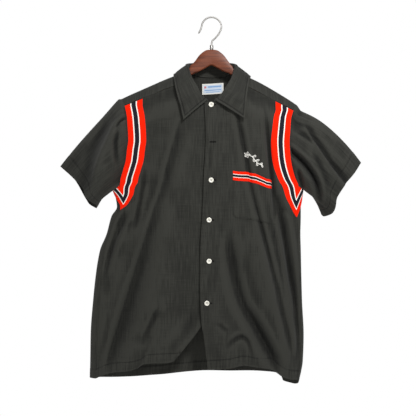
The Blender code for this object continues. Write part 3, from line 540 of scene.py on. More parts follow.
def shirting_finish():
    """Black gabardine: a fine twill and uneven yarns that run down the cloth, with painted light and
    shade from each point's attribute: dark in creases and grooves, pale on ridges and edges.
    """
    made, tree, shader = new_finish(
        "shirting", 0.8, Sheen_Weight=0.07, Sheen_Roughness=0.5, Specular_IOR_Level=0.14
    )

    def yarns(along_width, along_length, detail=3.0):
        values = {"Vector": grain_at(tree, (along_width, along_length, 1)), "Scale": 1.0, "Detail": detail}
        return add_node(tree, "ShaderNodeTexNoise", values).outputs["Fac"]

    slub = yarns(620, 24)
    # The attribute paints shade into creases and light onto ridges and edges, on top of the yarns' tone.
    painted_light_and_shade = add_node(tree, "ShaderNodeAttribute", attribute_name="painted_light_and_shade")
    tone_and_painted_shade = -0.3
    for layer, share in (
        (slub, 1.1), (yarns(300, 12), 0.5), (yarns(22, 430), 0.5), (yarns(16, 9, 2.0), 0.2),
        (painted_light_and_shade.outputs["Fac"], 0.37),
    ):
        sum_so_far = add_node(
            tree, "ShaderNodeMath", {0: layer, 1: share, 2: tone_and_painted_shade}, operation="MULTIPLY_ADD"
        )
        tone_and_painted_shade = sum_so_far.outputs[0]
    tone = colours(
        tree, tone_and_painted_shade, (0.2, (0.0050, 0.0051, 0.0045)), (0.85, (0.0218, 0.0220, 0.0185)),
        (1.0, (0.0290, 0.0292, 0.0248)),
    )
    twill = relief(tree, bands(tree, grain_at(tree, (1, 1, 1)), 520.0, "DIAGONAL", 0.6), 0.25, 0.0001)
    tree.links.new(tone.outputs[0], shader.inputs["Base Color"])
    tree.links.new(relief(tree, slub, 0.35, 0.0003, Normal=twill), shader.inputs["Normal"])
    return made


shirting = shirting_finish()


def stitch_tree(name, looped):
    """Stitches along a line: small bars end to end, or the open links of a chain stitch."""
    tree = bpy.data.node_groups.new(name, "GeometryNodeTree")
    tree.interface.new_socket("Geometry", in_out="INPUT", socket_type="NodeSocketGeometry")
    for label in ("Pitch", "Length", "Width", "Height"):
        tree.interface.new_socket(label, in_out="INPUT", socket_type="NodeSocketFloat")
    tree.interface.new_socket("Thread", in_out="INPUT", socket_type="NodeSocketMaterial")
    tree.interface.new_socket("Geometry", in_out="OUTPUT", socket_type="NodeSocketGeometry")
    given = add_node(tree, "NodeGroupInput").outputs
    line = add_node(tree, "GeometryNodeMeshToCurve", {"Mesh": given["Geometry"]})
    dots = add_node(
        tree, "GeometryNodeCurveToPoints", {"Curve": line.outputs[0], "Length": given["Pitch"]},
        mode="LENGTH",
    )
    facing_out = add_node(
        tree, "GeometryNodeInputNamedAttribute", {"Name": "facing"}, data_type="FLOAT_VECTOR"
    )
    ahead = add_node(
        tree, "FunctionNodeAlignRotationToVector", {"Vector": dots.outputs["Tangent"]}, axis="X"
    )
    turned = add_node(
        tree, "FunctionNodeAlignRotationToVector",
        {"Rotation": ahead.outputs[0], "Vector": facing_out.outputs["Attribute"]}, axis="Z", pivot_axis="X",
    )
    if looped:
        ring = add_node(tree, "GeometryNodeCurvePrimitiveCircle", {"Resolution": 10, "Radius": 0.4})
        yarn = add_node(tree, "GeometryNodeCurvePrimitiveCircle", {"Resolution": 5, "Radius": 0.22})
        shape = add_node(
            tree, "GeometryNodeCurveToMesh", {"Curve": ring.outputs[0], "Profile Curve": yarn.outputs[0]}
        )
    else:
        shape = add_node(tree, "GeometryNodeMeshUVSphere", {"Segments": 6, "Rings": 4, "Radius": 0.5})
    size = add_node(
        tree, "ShaderNodeCombineXYZ", {"X": given["Length"], "Y": given["Width"], "Z": given["Height"]}
    )
    placed = add_node(
        tree, "GeometryNodeInstanceOnPoints",
        {
            "Points": dots.outputs["Points"], "Instance": shape.outputs[0],
            "Rotation": turned.outputs[0], "Scale": size.outputs[0],
        },
    )
    real = add_node(tree, "GeometryNodeRealizeInstances", {"Geometry": placed.outputs[0]})
    coloured = add_node(
        tree, "GeometryNodeSetMaterial", {"Geometry": real.outputs[0], "Material": given["Thread"]}
    )
    add_node(tree, "NodeGroupOutput", {"Geometry": coloured.outputs[0]})
    return tree


def sewn(name, tree, lines, thread, pitch, width, height, length=0.86):
    """The mesh of the stitches along lines of places, each line with its normals. Length is a
    stitch's, as a share of the pitch, and the other sizes are in millimetres."""
    edges, first = [], 0
    for places, _ in lines:
        edges += [(first + i, first + i + 1) for i in range(len(places) - 1)]
        first += len(places)
    path = bpy.data.meshes.new(name)
    path.from_pydata(np.concatenate([places for places, _ in lines]) * MM, edges, [])
    out = path.attributes.new("facing", "FLOAT_VECTOR", "POINT")
    out.data.foreach_set("vector", np.concatenate([normals for _, normals in lines]).ravel())
    holder = bpy.data.objects.new(name, path)
    bpy.context.scene.collection.objects.link(holder)
    modifier = holder.modifiers.new("stitches", "NODES")
    modifier.node_group = tree
    values = {
        "Pitch": pitch * MM, "Length": pitch * length * MM, "Width": width * MM, "Height": height * MM,
        "Thread": thread,
    }
    for socket in tree.interface.items_tree:
        if socket.in_out == "INPUT" and socket.name in values:
            modifier[socket.identifier] = values[socket.name]
    holder.update_tag()
    mesh = bpy.data.meshes.new_from_object(
        holder.evaluated_get(bpy.context.evaluated_depsgraph_get())
    )
    bpy.data.objects.remove(holder)
    mesh.name = name
    spare = [each.name for each in mesh.attributes if each.name in ("facing", "UVMap", "uv_map")]
    for layer in spare:
        mesh.attributes.remove(mesh.attributes[layer])
    mesh.shade_smooth()
    return mesh


bars, links = stitch_tree("bar_stitches", False), stitch_tree("chain_stitches", True)


def clouds(tree, scale, **also):
    """A soft noise on the piece's own coordinates."""
    place = add_node(tree, "ShaderNodeTexCoord")
    values = {"Vector": place.outputs["Object"], "Scale": scale, **also}
    return add_node(tree, "ShaderNodeTexNoise", values).outputs["Fac"]


def thread_finish(name, colour, roughness, sheen=0.2, gloss=0.5):
    """Twisted cotton thread, a little uneven along its length."""
    made, tree, shader = new_finish(
        name, roughness, Sheen_Weight=sheen, Sheen_Roughness=0.4, Specular_IOR_Level=gloss
    )
    shaded = [0.75 * part for part in colour]
    tone = colours(tree, clouds(tree, 900.0), (0.3, shaded), (0.7, colour))
    tree.links.new(tone.outputs[0], shader.inputs["Base Color"])
    return made


black_thread = thread_finish("black_thread", (0.012, 0.012, 0.0115), 0.7, sheen=0.04, gloss=0.1)
STITCH = 2.4           # pitch of all seams
STITCH_WIDE = 0.55
ON_CLOTH = CLOTH / 2 + 0.1   # from the middle of a layer to the stitches on it


def add_seam(name, lines, slot="shirting", thread=black_thread, height=0.4):
    """A piece of bar stitches along lines on another piece."""
    mesh = sewn(f"{name}_stitches", bars, lines, thread, STITCH, STITCH_WIDE, height)
    return add_piece(f"{name}_stitches", mesh, "root", slot)


across = np.linspace(0, 1, 112)
down = np.concatenate([np.linspace(0, 0.94, 205), np.linspace(0.94, 1, 30)[1:]])
sheets = {}
for front, name, cut, area in (
    (FRONT_LEFT, "front_left", (0.26, 0.70), 0.158), (FRONT_RIGHT, "front_right", (0.30, 0.70), 0.160),
):
    net = front_surface(front)(*np.meshgrid(across, down))
    normals = facing(net, -front.side)
    sheets[name] = Sheet(net, normals, across, down)
    hem_drop = np.repeat(-net[-1:, :, 2], len(down), axis=0)
    turned_in = ease((HEM + 0.5 - (hem_drop + net[..., 2])) / 1.5)
    turned_in = np.maximum(turned_in, ease((0.05 - across) / 0.02))
    # The hem gets a painted highlight at its fold and painted shade along its stitch line.
    mesh = cloth_mesh(
        f"{name}_cloth", net, normals, CLOTH + TURNED_IN * turned_in, shirting, net[..., [0, 2]],
        added_light_and_shade=0.5 * edge_light_and_groove_shade(hem_drop + net[..., 2], HEM),
    )
    piece = add_piece(f"{name}_cloth", mesh, "root", "shirting", name)

    u = np.linspace(0.01, 0.995, 160)
    v = 1 - HEM / (front_plan(front, u, 1.0)[1] - front_plan(front, u, 0.0)[1])
    stitches = add_seam(name, [on_sheet(sheets[name], u, v, ON_CLOTH)])


# ---------------------------------------------------------------- the back
# One panel of the same cloth, from the yoke seam to the hem and round to both side seams. It falls in
# broad folds from the shoulder blades.

BODY_DEPTH_BACK = 36.0
BACK_GIRTH = 600.0
SIDE_ROUNDNESS = 3.2   # 2 is an ellipse, and more is squarer
BACK_TOP_DROP = 250.0
TRIM_TIP_DROP = 471.0

# The body's outline from the front, and how far round the side the armhole and side seam lie.
Side = namedtuple("Side", "drop right left")
SIDES = [
    Side(250, 246, 243),
    Side(300, 238, 234),
    Side(340, 238, 228),
    Side(370, 240, 224),
    Side(395, 242, 223),
    Side(412, 243, 224),
    Side(441, 234, 221),
    Side(463, 231, 218),
    Side(485, 244, 218),
    Side(529, 256, 217),
    Side(568, 272, 218),
    Side(617, 281, 219),
    Side(691, 289, 221),
    Side(774, 295, 225),
    Side(838, 296, 223),
    Side(884, 297, 214),
]
ArmholeBack = namedtuple("ArmholeBack", "drop y")
ARMHOLE_BACK = [
    ArmholeBack(250, 24),
    ArmholeBack(300, 23),
    ArmholeBack(345, 20),
    ArmholeBack(375, 13),
    ArmholeBack(392, 6),
    ArmholeBack(400, 0),
    ArmholeBack(405, -7),
    ArmholeBack(412, -17),
]
BackHem = namedtuple("BackHem", "x drop")
BACK_HEM = [
    BackHem(-297, 884),
    BackHem(-233, 887),
    BackHem(-144, 883),
    BackHem(-9, 872),
    BackHem(84, 872),
    BackHem(151, 874),
    BackHem(172, 880),
    BackHem(179, 895),
    BackHem(214, 902),
]
BACK_FOLDS = [
    Fold(-120, 300, -140, 560, -170, 860, 40, 8),
    Fold(-40, 280, -30, 560, -60, 860, 46, -6),
    Fold(30, 300, 40, 560, 36, 860, 40, 8),
    Fold(110, 290, 130, 560, 128, 860, 36, -6),
    Fold(170, 460, 168, 640, 160, 860, 30, 7),
    Fold(-220, 560, -226, 680, -236, 860, 30, 6),
]
BACK_CREASES = [
    Crease(-200, 320, -172, 450, -120, 600, 9, 7, 0.4),
    Crease(-120, 300, -128, 480, -168, 700, 11, 5, -0.4),
    Crease(-44, 290, -30, 470, -52, 720, 14, 4, 0.3),
    Crease(64, 300, 56, 470, 88, 690, 12, 5, -0.4),
    Crease(160, 310, 136, 440, 88, 580, 9, 7, 0.3),
    Crease(-214, 520, -216, 680, -248, 868, 11, 7, -0.4),
    Crease(-96, 600, -104, 730, -140, 868, 11, 5, 0.4),
    Crease(20, 560, 34, 720, 26, 868, 13, 5, -0.3),
    Crease(150, 560, 140, 720, 160, 868, 10, 6, 0.4),
]


def side_seam(front, drop):
    """How far round the side the seam lies at a drop, and how deep the section is in front there."""
    right = -read(SIDES, "drop", "right", drop)
    left = read(SIDES, "drop", "left", drop)
    x = front.side * read(front.outer, "drop", "out", drop)
    y = read(front.outer, "drop", "y", drop)
    along = min(abs(x - (left + right) / 2) / ((left - right) / 2), 0.995)
    around = math.acos(along ** (SIDE_ROUNDNESS / 2))
    return around, abs(y) / math.sin(around) ** (2 / SIDE_ROUNDNESS)


def back_section(drop, half_count=450):
    """The back's outline from above, from the right edge round to the left one."""
    power = 2 / SIDE_ROUNDNESS
    right = -read(SIDES, "drop", "right", drop)
    left = read(SIDES, "drop", "left", drop)
    centre, half = (left + right) / 2, (left - right) / 2
    ends = []
    depths = []
    for front in (FRONT_RIGHT, FRONT_LEFT):
        around, depth = side_seam(front, max(drop, ARMPIT_DROP))
        if drop < ARMPIT_DROP:
            y = read(ARMHOLE_BACK, "drop", "y", drop)
            reach = BODY_DEPTH_BACK if y > 0 else depth
            around = math.copysign(math.asin((abs(y) / reach) ** (1 / power)), -y)
        ends.append(around)
        depths.append(depth)
    angle = np.concatenate(
        [
            np.linspace(-ends[0], math.pi / 2, half_count),
            np.linspace(math.pi / 2, math.pi + ends[1], half_count)[1:],
        ]
    )
    across, deep = np.cos(angle), np.sin(angle)
    x = centre - half * np.sign(across) * np.abs(across) ** power
    front_depth = np.where(angle < math.pi / 2, depths[0], depths[1])
    y = np.where(deep > 0, BODY_DEPTH_BACK, -front_depth) * np.abs(deep) ** power
    return x, y


def evenly(line, fractions):
    """Points of a polyline at fractions of its length."""
    far = np.concatenate([[0], np.cumsum(np.linalg.norm(np.diff(line, axis=0), axis=1))])
    at = np.asarray(fractions) * far[-1]
    return np.stack([np.interp(at, far, line[:, axis]) for axis in range(3)], axis=-1)


BACK_ROWS = 240
BACK_HALF_COLUMNS = 240
SHAPED_EDGE = 0.65     # beyond this share of each half, the columns spread to meet the edge


def back_net():
    """The back's points, evenly spaced along each section, as rows from its top to its hem."""
    drops = np.linspace(BACK_TOP_DROP, SIDES[-1].drop, BACK_ROWS)
    lines = []
    for drop in drops:
        x, y = back_section(drop)
        lines.append(np.stack([x, y, np.zeros(len(x))], axis=-1))
    share = np.linspace(0, 1, BACK_HALF_COLUMNS + 1)
    spread = ease((share - SHAPED_EDGE) / (1 - SHAPED_EDGE))
    halves = []
    for right in (True, False):
        sides = []
        for line in lines:
            middle = len(line) // 2
            sides.append(line[middle::-1] if right else line[middle:])
        length = np.array([np.linalg.norm(np.diff(side, axis=0), axis=1).sum() for side in sides])
        at_tip = np.interp(TRIM_TIP_DROP, drops, length)
        calm = np.interp(drops, [drops[0], TRIM_TIP_DROP], [length[0], at_tip])
        calm = np.where(drops < TRIM_TIP_DROP, calm, length)
        halves.append(
            [evenly(side, share * mix(even / whole, 1, spread))
             for side, whole, even in zip(sides, length, calm)]
        )
    return np.array([np.concatenate([a[::-1], b[1:]]) for a, b in zip(*halves)])


BACK_NET = back_net()


def back_surface(u, v):
    """The back over u, from its right edge to its left one, and v, from the yoke to the hem."""
    u, v = np.broadcast_arrays(np.asarray(u, float), np.asarray(v, float))
    place = between(BACK_NET, v * (BACK_ROWS - 1), u * (BACK_NET.shape[1] - 1))
    x, y = place[..., 0], place[..., 1]
    drop = mix(BACK_TOP_DROP, SIDES[-1].drop, v)
    hem = read(BACK_HEM, "x", "drop", x)
    seam_hem = mix(FRONT_RIGHT.outer[-1].drop, FRONT_LEFT.outer[-1].drop, u)
    hem = mix(seam_hem, hem, ease((y + 10) / 30))
    drop = drop + (hem - SIDES[-1].drop) * ease((v - 0.6) / 0.4)
    drop = drop - 4 * ease(1 - v / 0.1) * (1 - (2 * u - 1) ** 2)
    behind = ease((y - 12) / 22)
    y = y - sunk(BACK_FOLDS, x, drop) * ease(v / 0.1) * behind
    y = y - creased(BACK_CREASES, x, drop) * ease(v / 0.05) * behind
    y = y - rumpled(x, drop, 80, 1.0, 31) * ease(v / 0.05) * behind
    y = y - puckered(u * BACK_GIRTH, hem - drop, HEM, 9) * behind
    return np.stack([x, y, -drop], axis=-1)


edge = ease(np.linspace(0, 1, 60)) * 0.16
across = np.concatenate([edge, np.linspace(0.16, 0.84, 92)[1:-1], 1 - edge[::-1]])
down = np.concatenate(
    [np.linspace(0, 0.26, 70), np.linspace(0.26, 0.94, 120)[1:], np.linspace(0.94, 1, 24)[1:]]
)
u, v = np.meshgrid(across, down)
net = back_surface(u, v)
normals = facing(net, 1)
sheets["back"] = Sheet(net, normals, across, down)
from_hem = net[..., 2] - net[-1:, :, 2]
doubled = CLOTH + TURNED_IN * ease((HEM + 0.5 - from_hem) / 1.5)
# The hem gets a painted highlight at its fold and painted shade along its stitch line.
mesh = cloth_mesh(
    "back_cloth", net, normals, doubled, shirting, np.stack([u * BACK_GIRTH, net[..., 2]], axis=-1),
    added_light_and_shade=0.5 * edge_light_and_groove_shade(from_hem, HEM),
)
back = add_piece("back_cloth", mesh, "root", "shirting", "back")
row = np.abs(from_hem - HEM).argmin(axis=0)
stitches = add_seam("back", [on_sheet(sheets["back"], across, down[row], ON_CLOTH)])


# ---------------------------------------------------------------- the yoke
# One piece over both shoulders and the back neck. It lies on the hanger's arms, and its lower edges lap
# over the fronts and the back in a flat, topstitched seam.

Station = namedtuple("Station", "neck_x neck_y neck_drop end_x end_y end_drop")
YOKE_RIGHT = [
    Station(-62, -21, 158, -211, -16, 216),
    Station(-62, -11, 140, -216, -10, 205),
    Station(-61, 0, 130, -219, 0, 198),
    Station(-57, 10, 131, -217, 9, 206),
    Station(-46, 19, 136, -212, 18, 226),
]
YOKE_BACK_NECK = [
    Station(-36, 24, 139, -1, 0, 0),
    Station(-24, 27, 141, -0.55, 0, 0),
    Station(0, 29, 142, 0, 0, 0),
    Station(24, 27, 141, 0.55, 0, 0),
    Station(36, 24, 139, 1, 0, 0),
]
YOKE_LEFT = [
    Station(46, 19, 136, 210, 18, 236),
    Station(58, 10, 132, 210, 9, 221),
    Station(63, 0, 133, 208, 0, 213),
    Station(64, -11, 143, 204, -10, 219),
    Station(64, -21, 159, 199, -16, 228),
]
YOKE_TURNS = len(YOKE_RIGHT) + len(YOKE_BACK_NECK) + len(YOKE_LEFT) - 1
YOKE_CROWN_LEFT = 5.0  # how far each shoulder is padded up between neck and armhole
YOKE_CROWN_RIGHT = 1.5
YOKE_SPAN = 150.0      # from its neck edge to its lower seam, on the flat
YOKE_LAP = 0.3         # how far its seams lift it over the panels below


def yoke_surface():
    """The yoke over u, round the neck from the right front seam to the left one, and v, outwards."""
    stations = YOKE_RIGHT + YOKE_BACK_NECK + YOKE_LEFT
    neck = np.array([[s.neck_x, s.neck_y, -s.neck_drop] for s in stations], float)
    end = np.array([[s.end_x, s.end_y, -s.end_drop] for s in stations], float)
    for i, station in enumerate(YOKE_BACK_NECK):
        end[len(YOKE_RIGHT) + i] = back_surface((1 + station.end_x) / 2, 0.0)
    keys = np.arange(len(stations))

    def surface(u, v):
        u, v = np.broadcast_arrays(np.asarray(u, float), np.asarray(v, float))
        at = np.clip(u, 0, 1) * YOKE_TURNS
        inner = np.stack([smooth(keys, neck[:, axis], at) for axis in range(3)], axis=-1)
        outer = np.stack([smooth(keys, end[:, axis], at) for axis in range(3)], axis=-1)
        point = mix(inner, outer, v[..., None])
        crown = np.where(u < 0.5, YOKE_CROWN_RIGHT, YOKE_CROWN_LEFT)
        over = np.exp(-((np.minimum(at, YOKE_TURNS - at) - 2) ** 2))
        point[..., 2] += crown * over * 4 * v * (1 - v)
        return point

    return surface


YOKE = yoke_surface()


def yoke_over(u, v):
    """The yoke's surface with the soft unevenness of its cloth."""
    point = YOKE(u, v)
    out = np.abs(point[..., 0])
    point[..., 2] += rumpled(out, point[..., 1] * 3, 60, 0.4, 41) * np.sin(math.pi * np.clip(v, 0, 1))
    return point


across, down = np.linspace(0, 1, 220), np.linspace(0, 1.006, 44)
u, v = np.meshgrid(across, down)
net = yoke_over(u, v)
normals = facing(net, -1)
sheets["yoke"] = Sheet(net, normals, across, down)
mesh = cloth_mesh(
    "yoke_cloth", net + normals * YOKE_LAP, normals, CLOTH, shirting,
    np.stack([net[..., 0], v * YOKE_SPAN + net[..., 1]], axis=-1),
)
yoke = add_piece("yoke_cloth", mesh, "root", "shirting", "yoke")
outwards = np.linspace(0.02, 0.99, 60)
lines = [on_sheet(sheets["yoke"], u, outwards, YOKE_LAP + ON_CLOTH) for u in (0.012, 0.988)]
round_back = np.linspace(4 / YOKE_TURNS, 1 - 4 / YOKE_TURNS, 200)
lines.append(on_sheet(sheets["yoke"], round_back, 0.985, YOKE_LAP + ON_CLOTH))
stitches = add_seam("yoke", lines)


# ---------------------------------------------------------------- the sleeves
# Two short set-in sleeves, each one piece joined under the arm. They hang from the hanger's tips, so
# they are flattened, creased from the armhole to the hem, and stand open a little at the underside.

Rim = namedtuple("Rim", "x y drop")
HEM_RIGHT = [
    Rim(-370, 0, 364),
    Rim(-334, -20, 394),
    Rim(-308, -28, 422),
    Rim(-304, -31, 438),
    Rim(-292, -22, 450),
    Rim(-281, -8, 459),
    Rim(-283, 4, 466),
    Rim(-302, 16, 456),
    Rim(-312, 20, 442),
    Rim(-338, 16, 396),
]
HEM_LEFT = [
    Rim(366, 0, 355),
    Rim(346, -14, 382),
    Rim(318, -24, 416),
    Rim(301, -27, 446),
    Rim(300, -22, 462),
    Rim(294, -12, 478),
    Rim(276, 0, 486),
    Rim(270, 8, 478),
    Rim(284, 16, 462),
    Rim(304, 22, 438),
    Rim(338, 16, 394),
]
SleeveShape = namedtuple("SleeveShape", "top_rise head under_rise front_depth back_depth creases")
SLEEVE_RIGHT = SleeveShape(
    top_rise=5,
    head=7,
    under_rise=0,
    front_depth=17,
    back_depth=10,
    creases=[
        Crease(200, 206, 258, 318, 298, 452, 28, -18, -0.45),
        Crease(214, 214, 270, 331, 300, 442, 11, 7, 0.4),
        Crease(190, 246, 219, 258, 230, 288, 4, 7),
        Crease(214, 262, 230, 308, 224, 372, 5, 6, -0.3),
        Crease(300, 300, 318, 340, 340, 380, 14, 2.5),
    ],
)
SLEEVE_LEFT = SleeveShape(
    top_rise=12,
    head=-9,
    under_rise=10,
    front_depth=12,
    back_depth=10,
    creases=[
        Crease(224, 256, 267, 330, 336, 424, 7, 8, 0.55),
        Crease(284, 352, 314, 388, 340, 426, 12, 6, 0.5),
        Crease(140, 292, 236, 372, 262, 464, 7, 19, -0.35),
        Crease(204, 283, 228, 296, 252, 316, 6, 4, 0.3),
        Crease(206, 366, 214, 394, 225, 428, 4, 6),
        Crease(200, 222, 226, 238, 262, 256, 8, 4),
        Crease(236, 318, 262, 366, 286, 424, 7, 2.5, 0.3),
    ],
)
SLEEVE_ROUND = 400.0   # the flat cloth's width round the arm
SLEEVE_LONG = 150.0    # and its length from the armhole to the hem
SLEEVE_HEM_AT = 0.855  # the stitch line's share of that length
SLEEVE_PAINTED_SHADE = 0.45    # how much darker the sleeves are painted than the body, as painted shade


def armhole(front):
    """The armhole's line in two: from the shoulder by the front and the armpit to where it turns
    behind the side, and from there up the back."""
    u = np.linspace(2, 0, 12) / YOKE_TURNS
    back_u = np.linspace(len(YOKE_RIGHT), 2, 16) / YOKE_TURNS
    if front.side > 0:
        u, back_u = 1 - u, 1 - back_u
    armpit = (ARMPIT_DROP - front.outer[0].drop) / (front.outer[-1].drop - front.outer[0].drop)
    back_armpit = (ARMPIT_DROP - BACK_TOP_DROP) / (SIDES[-1].drop - BACK_TOP_DROP)
    over = YOKE(u, 1.0)
    down = front_surface(front)(1.0, np.linspace(0, armpit, 40))
    up = back_surface(float(front.side > 0), np.linspace(back_armpit, 0, 60))
    behind = YOKE(back_u, 1.0)
    turn = int(np.argmax(up[:, 1] >= 0))
    fore = np.concatenate([over, down, up[: turn + 1]])
    return fore, np.concatenate([up[turn:], behind])


def sleeve_surface(front, rim, shape):
    """A sleeve over u, once round from the top by the front, and v, from the armhole to the hem."""
    fore, rear = armhole(front)
    hem = np.array([[point.x, point.y, -point.drop] for point in rim + rim[:1]], float)
    lowest = int(np.argmin(hem[:, 2]))
    keys = np.arange(len(hem))
    around = np.linspace(0, 1, 60)
    fine = [
        np.stack([smooth(keys, hem[:, axis], span) for axis in range(3)], axis=-1)
        for span in (around * lowest, lowest + around * (len(rim) - lowest))
    ]

    def surface(u, v):
        u, v = np.broadcast_arrays(np.asarray(u, float), np.asarray(v, float))
        u = u % 1.0
        half = (u >= 0.5).astype(int)
        along = np.where(half, u - 0.5, u) * 2
        start = np.where(half[..., None], evenly(rear, along), evenly(fore, along))
        end = np.where(half[..., None], evenly(fine[1], along), evenly(fine[0], along))
        point = mix(start, end, v[..., None])
        arch = 4 * v * (1 - v)
        sideways = np.sin(2 * np.pi * u)
        depth = np.where(half, shape.back_depth, shape.front_depth)
        point[..., 1] -= depth * sideways * arch * 0.8
        upper = ease((np.cos(2 * np.pi * u) - 0.2) / 0.8)
        head = shape.head * ease(v / 0.06) * np.exp(-((v / 0.22) ** 2))
        point[..., 2] += upper * (0.7 * shape.top_rise * arch + head)
        point[..., 0] += upper * 0.7 * shape.top_rise * arch * front.side
        lower = ease((-np.cos(2 * np.pi * u) - 0.5) / 0.5)
        point[..., 2] += lower * shape.under_rise * 4 * v**3 * (1 - v)
        out, drop = front.side * point[..., 0], -point[..., 2]
        faces_out = np.sign(sideways) * ease(np.abs(sideways) / 0.35)
        held = ease(v / 0.05)
        push = creased(shape.creases, out, drop) + rumpled(out, drop, 55, 0.7, 51 + front.side)
        pucker = puckered(u * SLEEVE_ROUND, (1 - v) * SLEEVE_LONG, HEM, 55)
        point[..., 1] += faces_out * held * (push + pucker)
        return point

    return surface


across = np.linspace(0, 1, 161)
down = np.concatenate([np.linspace(0.001, 0.84, 50), np.linspace(0.84, 1, 18)[1:]])
u, v = np.meshgrid(across, down)
for front, rim, shape, name, area in (
    (FRONT_LEFT, HEM_LEFT, SLEEVE_LEFT, "sleeve_left", 0.059),
    (FRONT_RIGHT, HEM_RIGHT, SLEEVE_RIGHT, "sleeve_right", 0.051),
):
    net = sleeve_surface(front, rim, shape)(u, v)
    normals = facing(net[:, :-1], front.side, around=True)
    sheets[name] = Sheet(net, np.concatenate([normals, normals[:, :1]], axis=1), across, down)
    doubled = CLOTH + TURNED_IN * ease((v[:, :-1] - 0.85) / 0.012)
    # The sleeves get painted shade all over. Their hems get a painted highlight at the fold and painted
    # shade along the stitch line.
    mesh = cloth_mesh(
        f"{name}_cloth", net[:, :-1], normals, doubled, shirting,
        np.stack([u * SLEEVE_ROUND, v * SLEEVE_LONG], axis=-1),
        around=True, added_light_and_shade=0.3 * edge_light_and_groove_shade((1 - v[:, :-1]) * SLEEVE_LONG, HEM) - SLEEVE_PAINTED_SHADE,
    )
    piece = add_piece(f"{name}_cloth", mesh, "root", "shirting", name)
    stitches = add_seam(name, [on_sheet(sheets[name], across, SLEEVE_HEM_AT, ON_CLOTH)])


# ---------------------------------------------------------------- the collar
# A one-piece open collar: an upper and an under collar with interfacing between them, turned out,
# pressed flat and stitched 6 mm from the edge. It stands at the neck seam and falls to long points.

COLLAR_CLOTH = 1.5
Collar = namedtuple(
    "Collar",
    "seam_x seam_y seam_drop fold_x fold_y fold_drop edge_x edge_y edge_drop",
)
COLLAR_RIGHT = [
    Collar(-12, -43, 210, -11, -47, 208, -67, -50.5, 256),
    Collar(-34, -39.5, 196, -25, -43.5, 196, -74, -48.5, 224),
    Collar(-47, -33, 178, -38, -35, 172, -81, -42, 200),
    Collar(-60, -24, 157, -51, -25, 147, -87, -33.5, 176),
    Collar(-61, -11, 138.5, -58, -11, 123, -91, -19, 152),
    Collar(-60, 0, 128.5, -61, 0, 114, -93, 0, 139.5),
    Collar(-56, 10, 129.5, -58, 12, 110, -88, 20, 149),
    Collar(-45, 19, 134.5, -47, 21, 107, -72, 34, 157),
    Collar(-24, 26.5, 139.5, -25, 28, 105, -38, 43, 164),
    Collar(0, 28.5, 140.5, 0, 30, 104, 0, 46, 166),
]
COLLAR_LEFT = [
    Collar(12, -46, 210, 9, -49.5, 208, 79, -52.5, 254),
    Collar(33, -41, 196, 23, -46.5, 196, 82, -50.5, 224),
    Collar(48, -33, 179, 38, -37, 173, 84, -44, 202),
    Collar(62, -24, 158, 51, -26, 149, 87, -34.5, 179),
    Collar(63, -11, 141.5, 58, -11, 125, 92, -19, 154),
    Collar(62, 0, 131.5, 61, 0, 116, 96, 0, 144),
    Collar(57, 10, 130.5, 58, 12, 111, 91, 20, 152),
    Collar(45, 19, 134.5, 47, 21, 107, 72, 34, 158),
    Collar(24, 26.5, 139.5, 25, 28, 105, 38, 43, 164),
    Collar(0, 28.5, 140.5, 0, 30, 104, 0, 46, 166),
]
COLLAR_FOLD_RADIUS = 2.3


def collar_sections(stations):
    """The collar's cross-sections: up the stand, over the fold and down the fall."""
    sections = []
    for row in stations:
        seam = np.array([row.seam_x, row.seam_y, -row.seam_drop], float)
        fold = np.array([row.fold_x, row.fold_y, -row.fold_drop], float)
        edge = np.array([row.edge_x, row.edge_y, -row.edge_drop], float)
        away = edge - fold
        away[2] = 0
        away = away / np.linalg.norm(away)
        down = np.array([0, 0, -COLLAR_FOLD_RADIUS])
        near = fold - away * COLLAR_FOLD_RADIUS + down
        far = fold + away * COLLAR_FOLD_RADIUS + down
        shoulder = COLLAR_FOLD_RADIUS * 0.7
        sections.append(
            [
                seam,
                mix(seam, near, 0.5),
                near,
                fold - away * shoulder + down * 0.3,
                fold,
                fold + away * shoulder + down * 0.3,
                far,
                mix(far, edge, 0.3) + away * 0.6,
                mix(far, edge, 0.65) + away * 0.6,
                edge,
            ]
        )
    return np.array(sections)


def collar_net(at, over):
    """The collar's points, along it from its right end to its left one, and from its seam to its edge."""
    rows = np.concatenate([collar_sections(COLLAR_RIGHT), collar_sections(COLLAR_LEFT)[-2::-1]])
    keys = np.arange(len(rows))
    net = np.stack(
        [np.stack([smooth(keys, rows[:, c, axis], at) for axis in range(3)], axis=-1)
         for c in range(rows.shape[1])],
        axis=1,
    )
    keys = np.arange(net.shape[1])
    return np.stack(
        [np.stack([smooth(keys, line[:, axis], over) for axis in range(3)], axis=-1) for line in net]
    )


COLLAR_ENDS = 2 * len(COLLAR_RIGHT) - 2
COLLAR_STITCH = 6.0    # from the edge
COLLAR_SEWN = COLLAR_CLOTH / 2 + 0.1
ends = np.linspace(0, 0.4, 24)
at = np.concatenate([ends, np.linspace(0.4, COLLAR_ENDS - 0.4, 220)[1:-1], COLLAR_ENDS - ends[::-1]])
over = np.concatenate([np.linspace(0, 7.6, 42), np.linspace(7.6, 9, 34)[1:]])
net = collar_net(at, over)
normals = facing(net, 1)
sheets["collar"] = Sheet(net, normals, over, at)
along = np.cumsum(np.linalg.norm(np.diff(net[:, -1], axis=0, prepend=net[:1, -1]), axis=1))
fall = np.cumsum(np.linalg.norm(np.diff(net, axis=1, prepend=net[:, :1]), axis=2), axis=1)
span = np.cumsum(np.linalg.norm(np.diff(net, axis=0, prepend=net[:1]), axis=2), axis=0)
from_edge = np.minimum(fall[:, -1:] - fall, np.minimum(span, span[-1:] - span))
padding = ease(from_edge / 1.2) - 1.3 * np.exp(-(((from_edge - COLLAR_STITCH) / 1.5) ** 2))
# The collar's edges get a painted highlight and its stitch groove gets painted shade.
mesh = cloth_mesh(
    "collar_cloth", net, normals, COLLAR_CLOTH + padding, shirting,
    np.stack([fall, np.repeat(along[:, None], net.shape[1], axis=1)], axis=-1),
    added_light_and_shade=edge_light_and_groove_shade(from_edge, COLLAR_STITCH),
)
collar = add_piece("collar_cloth", mesh, "root", "shirting", "collar")

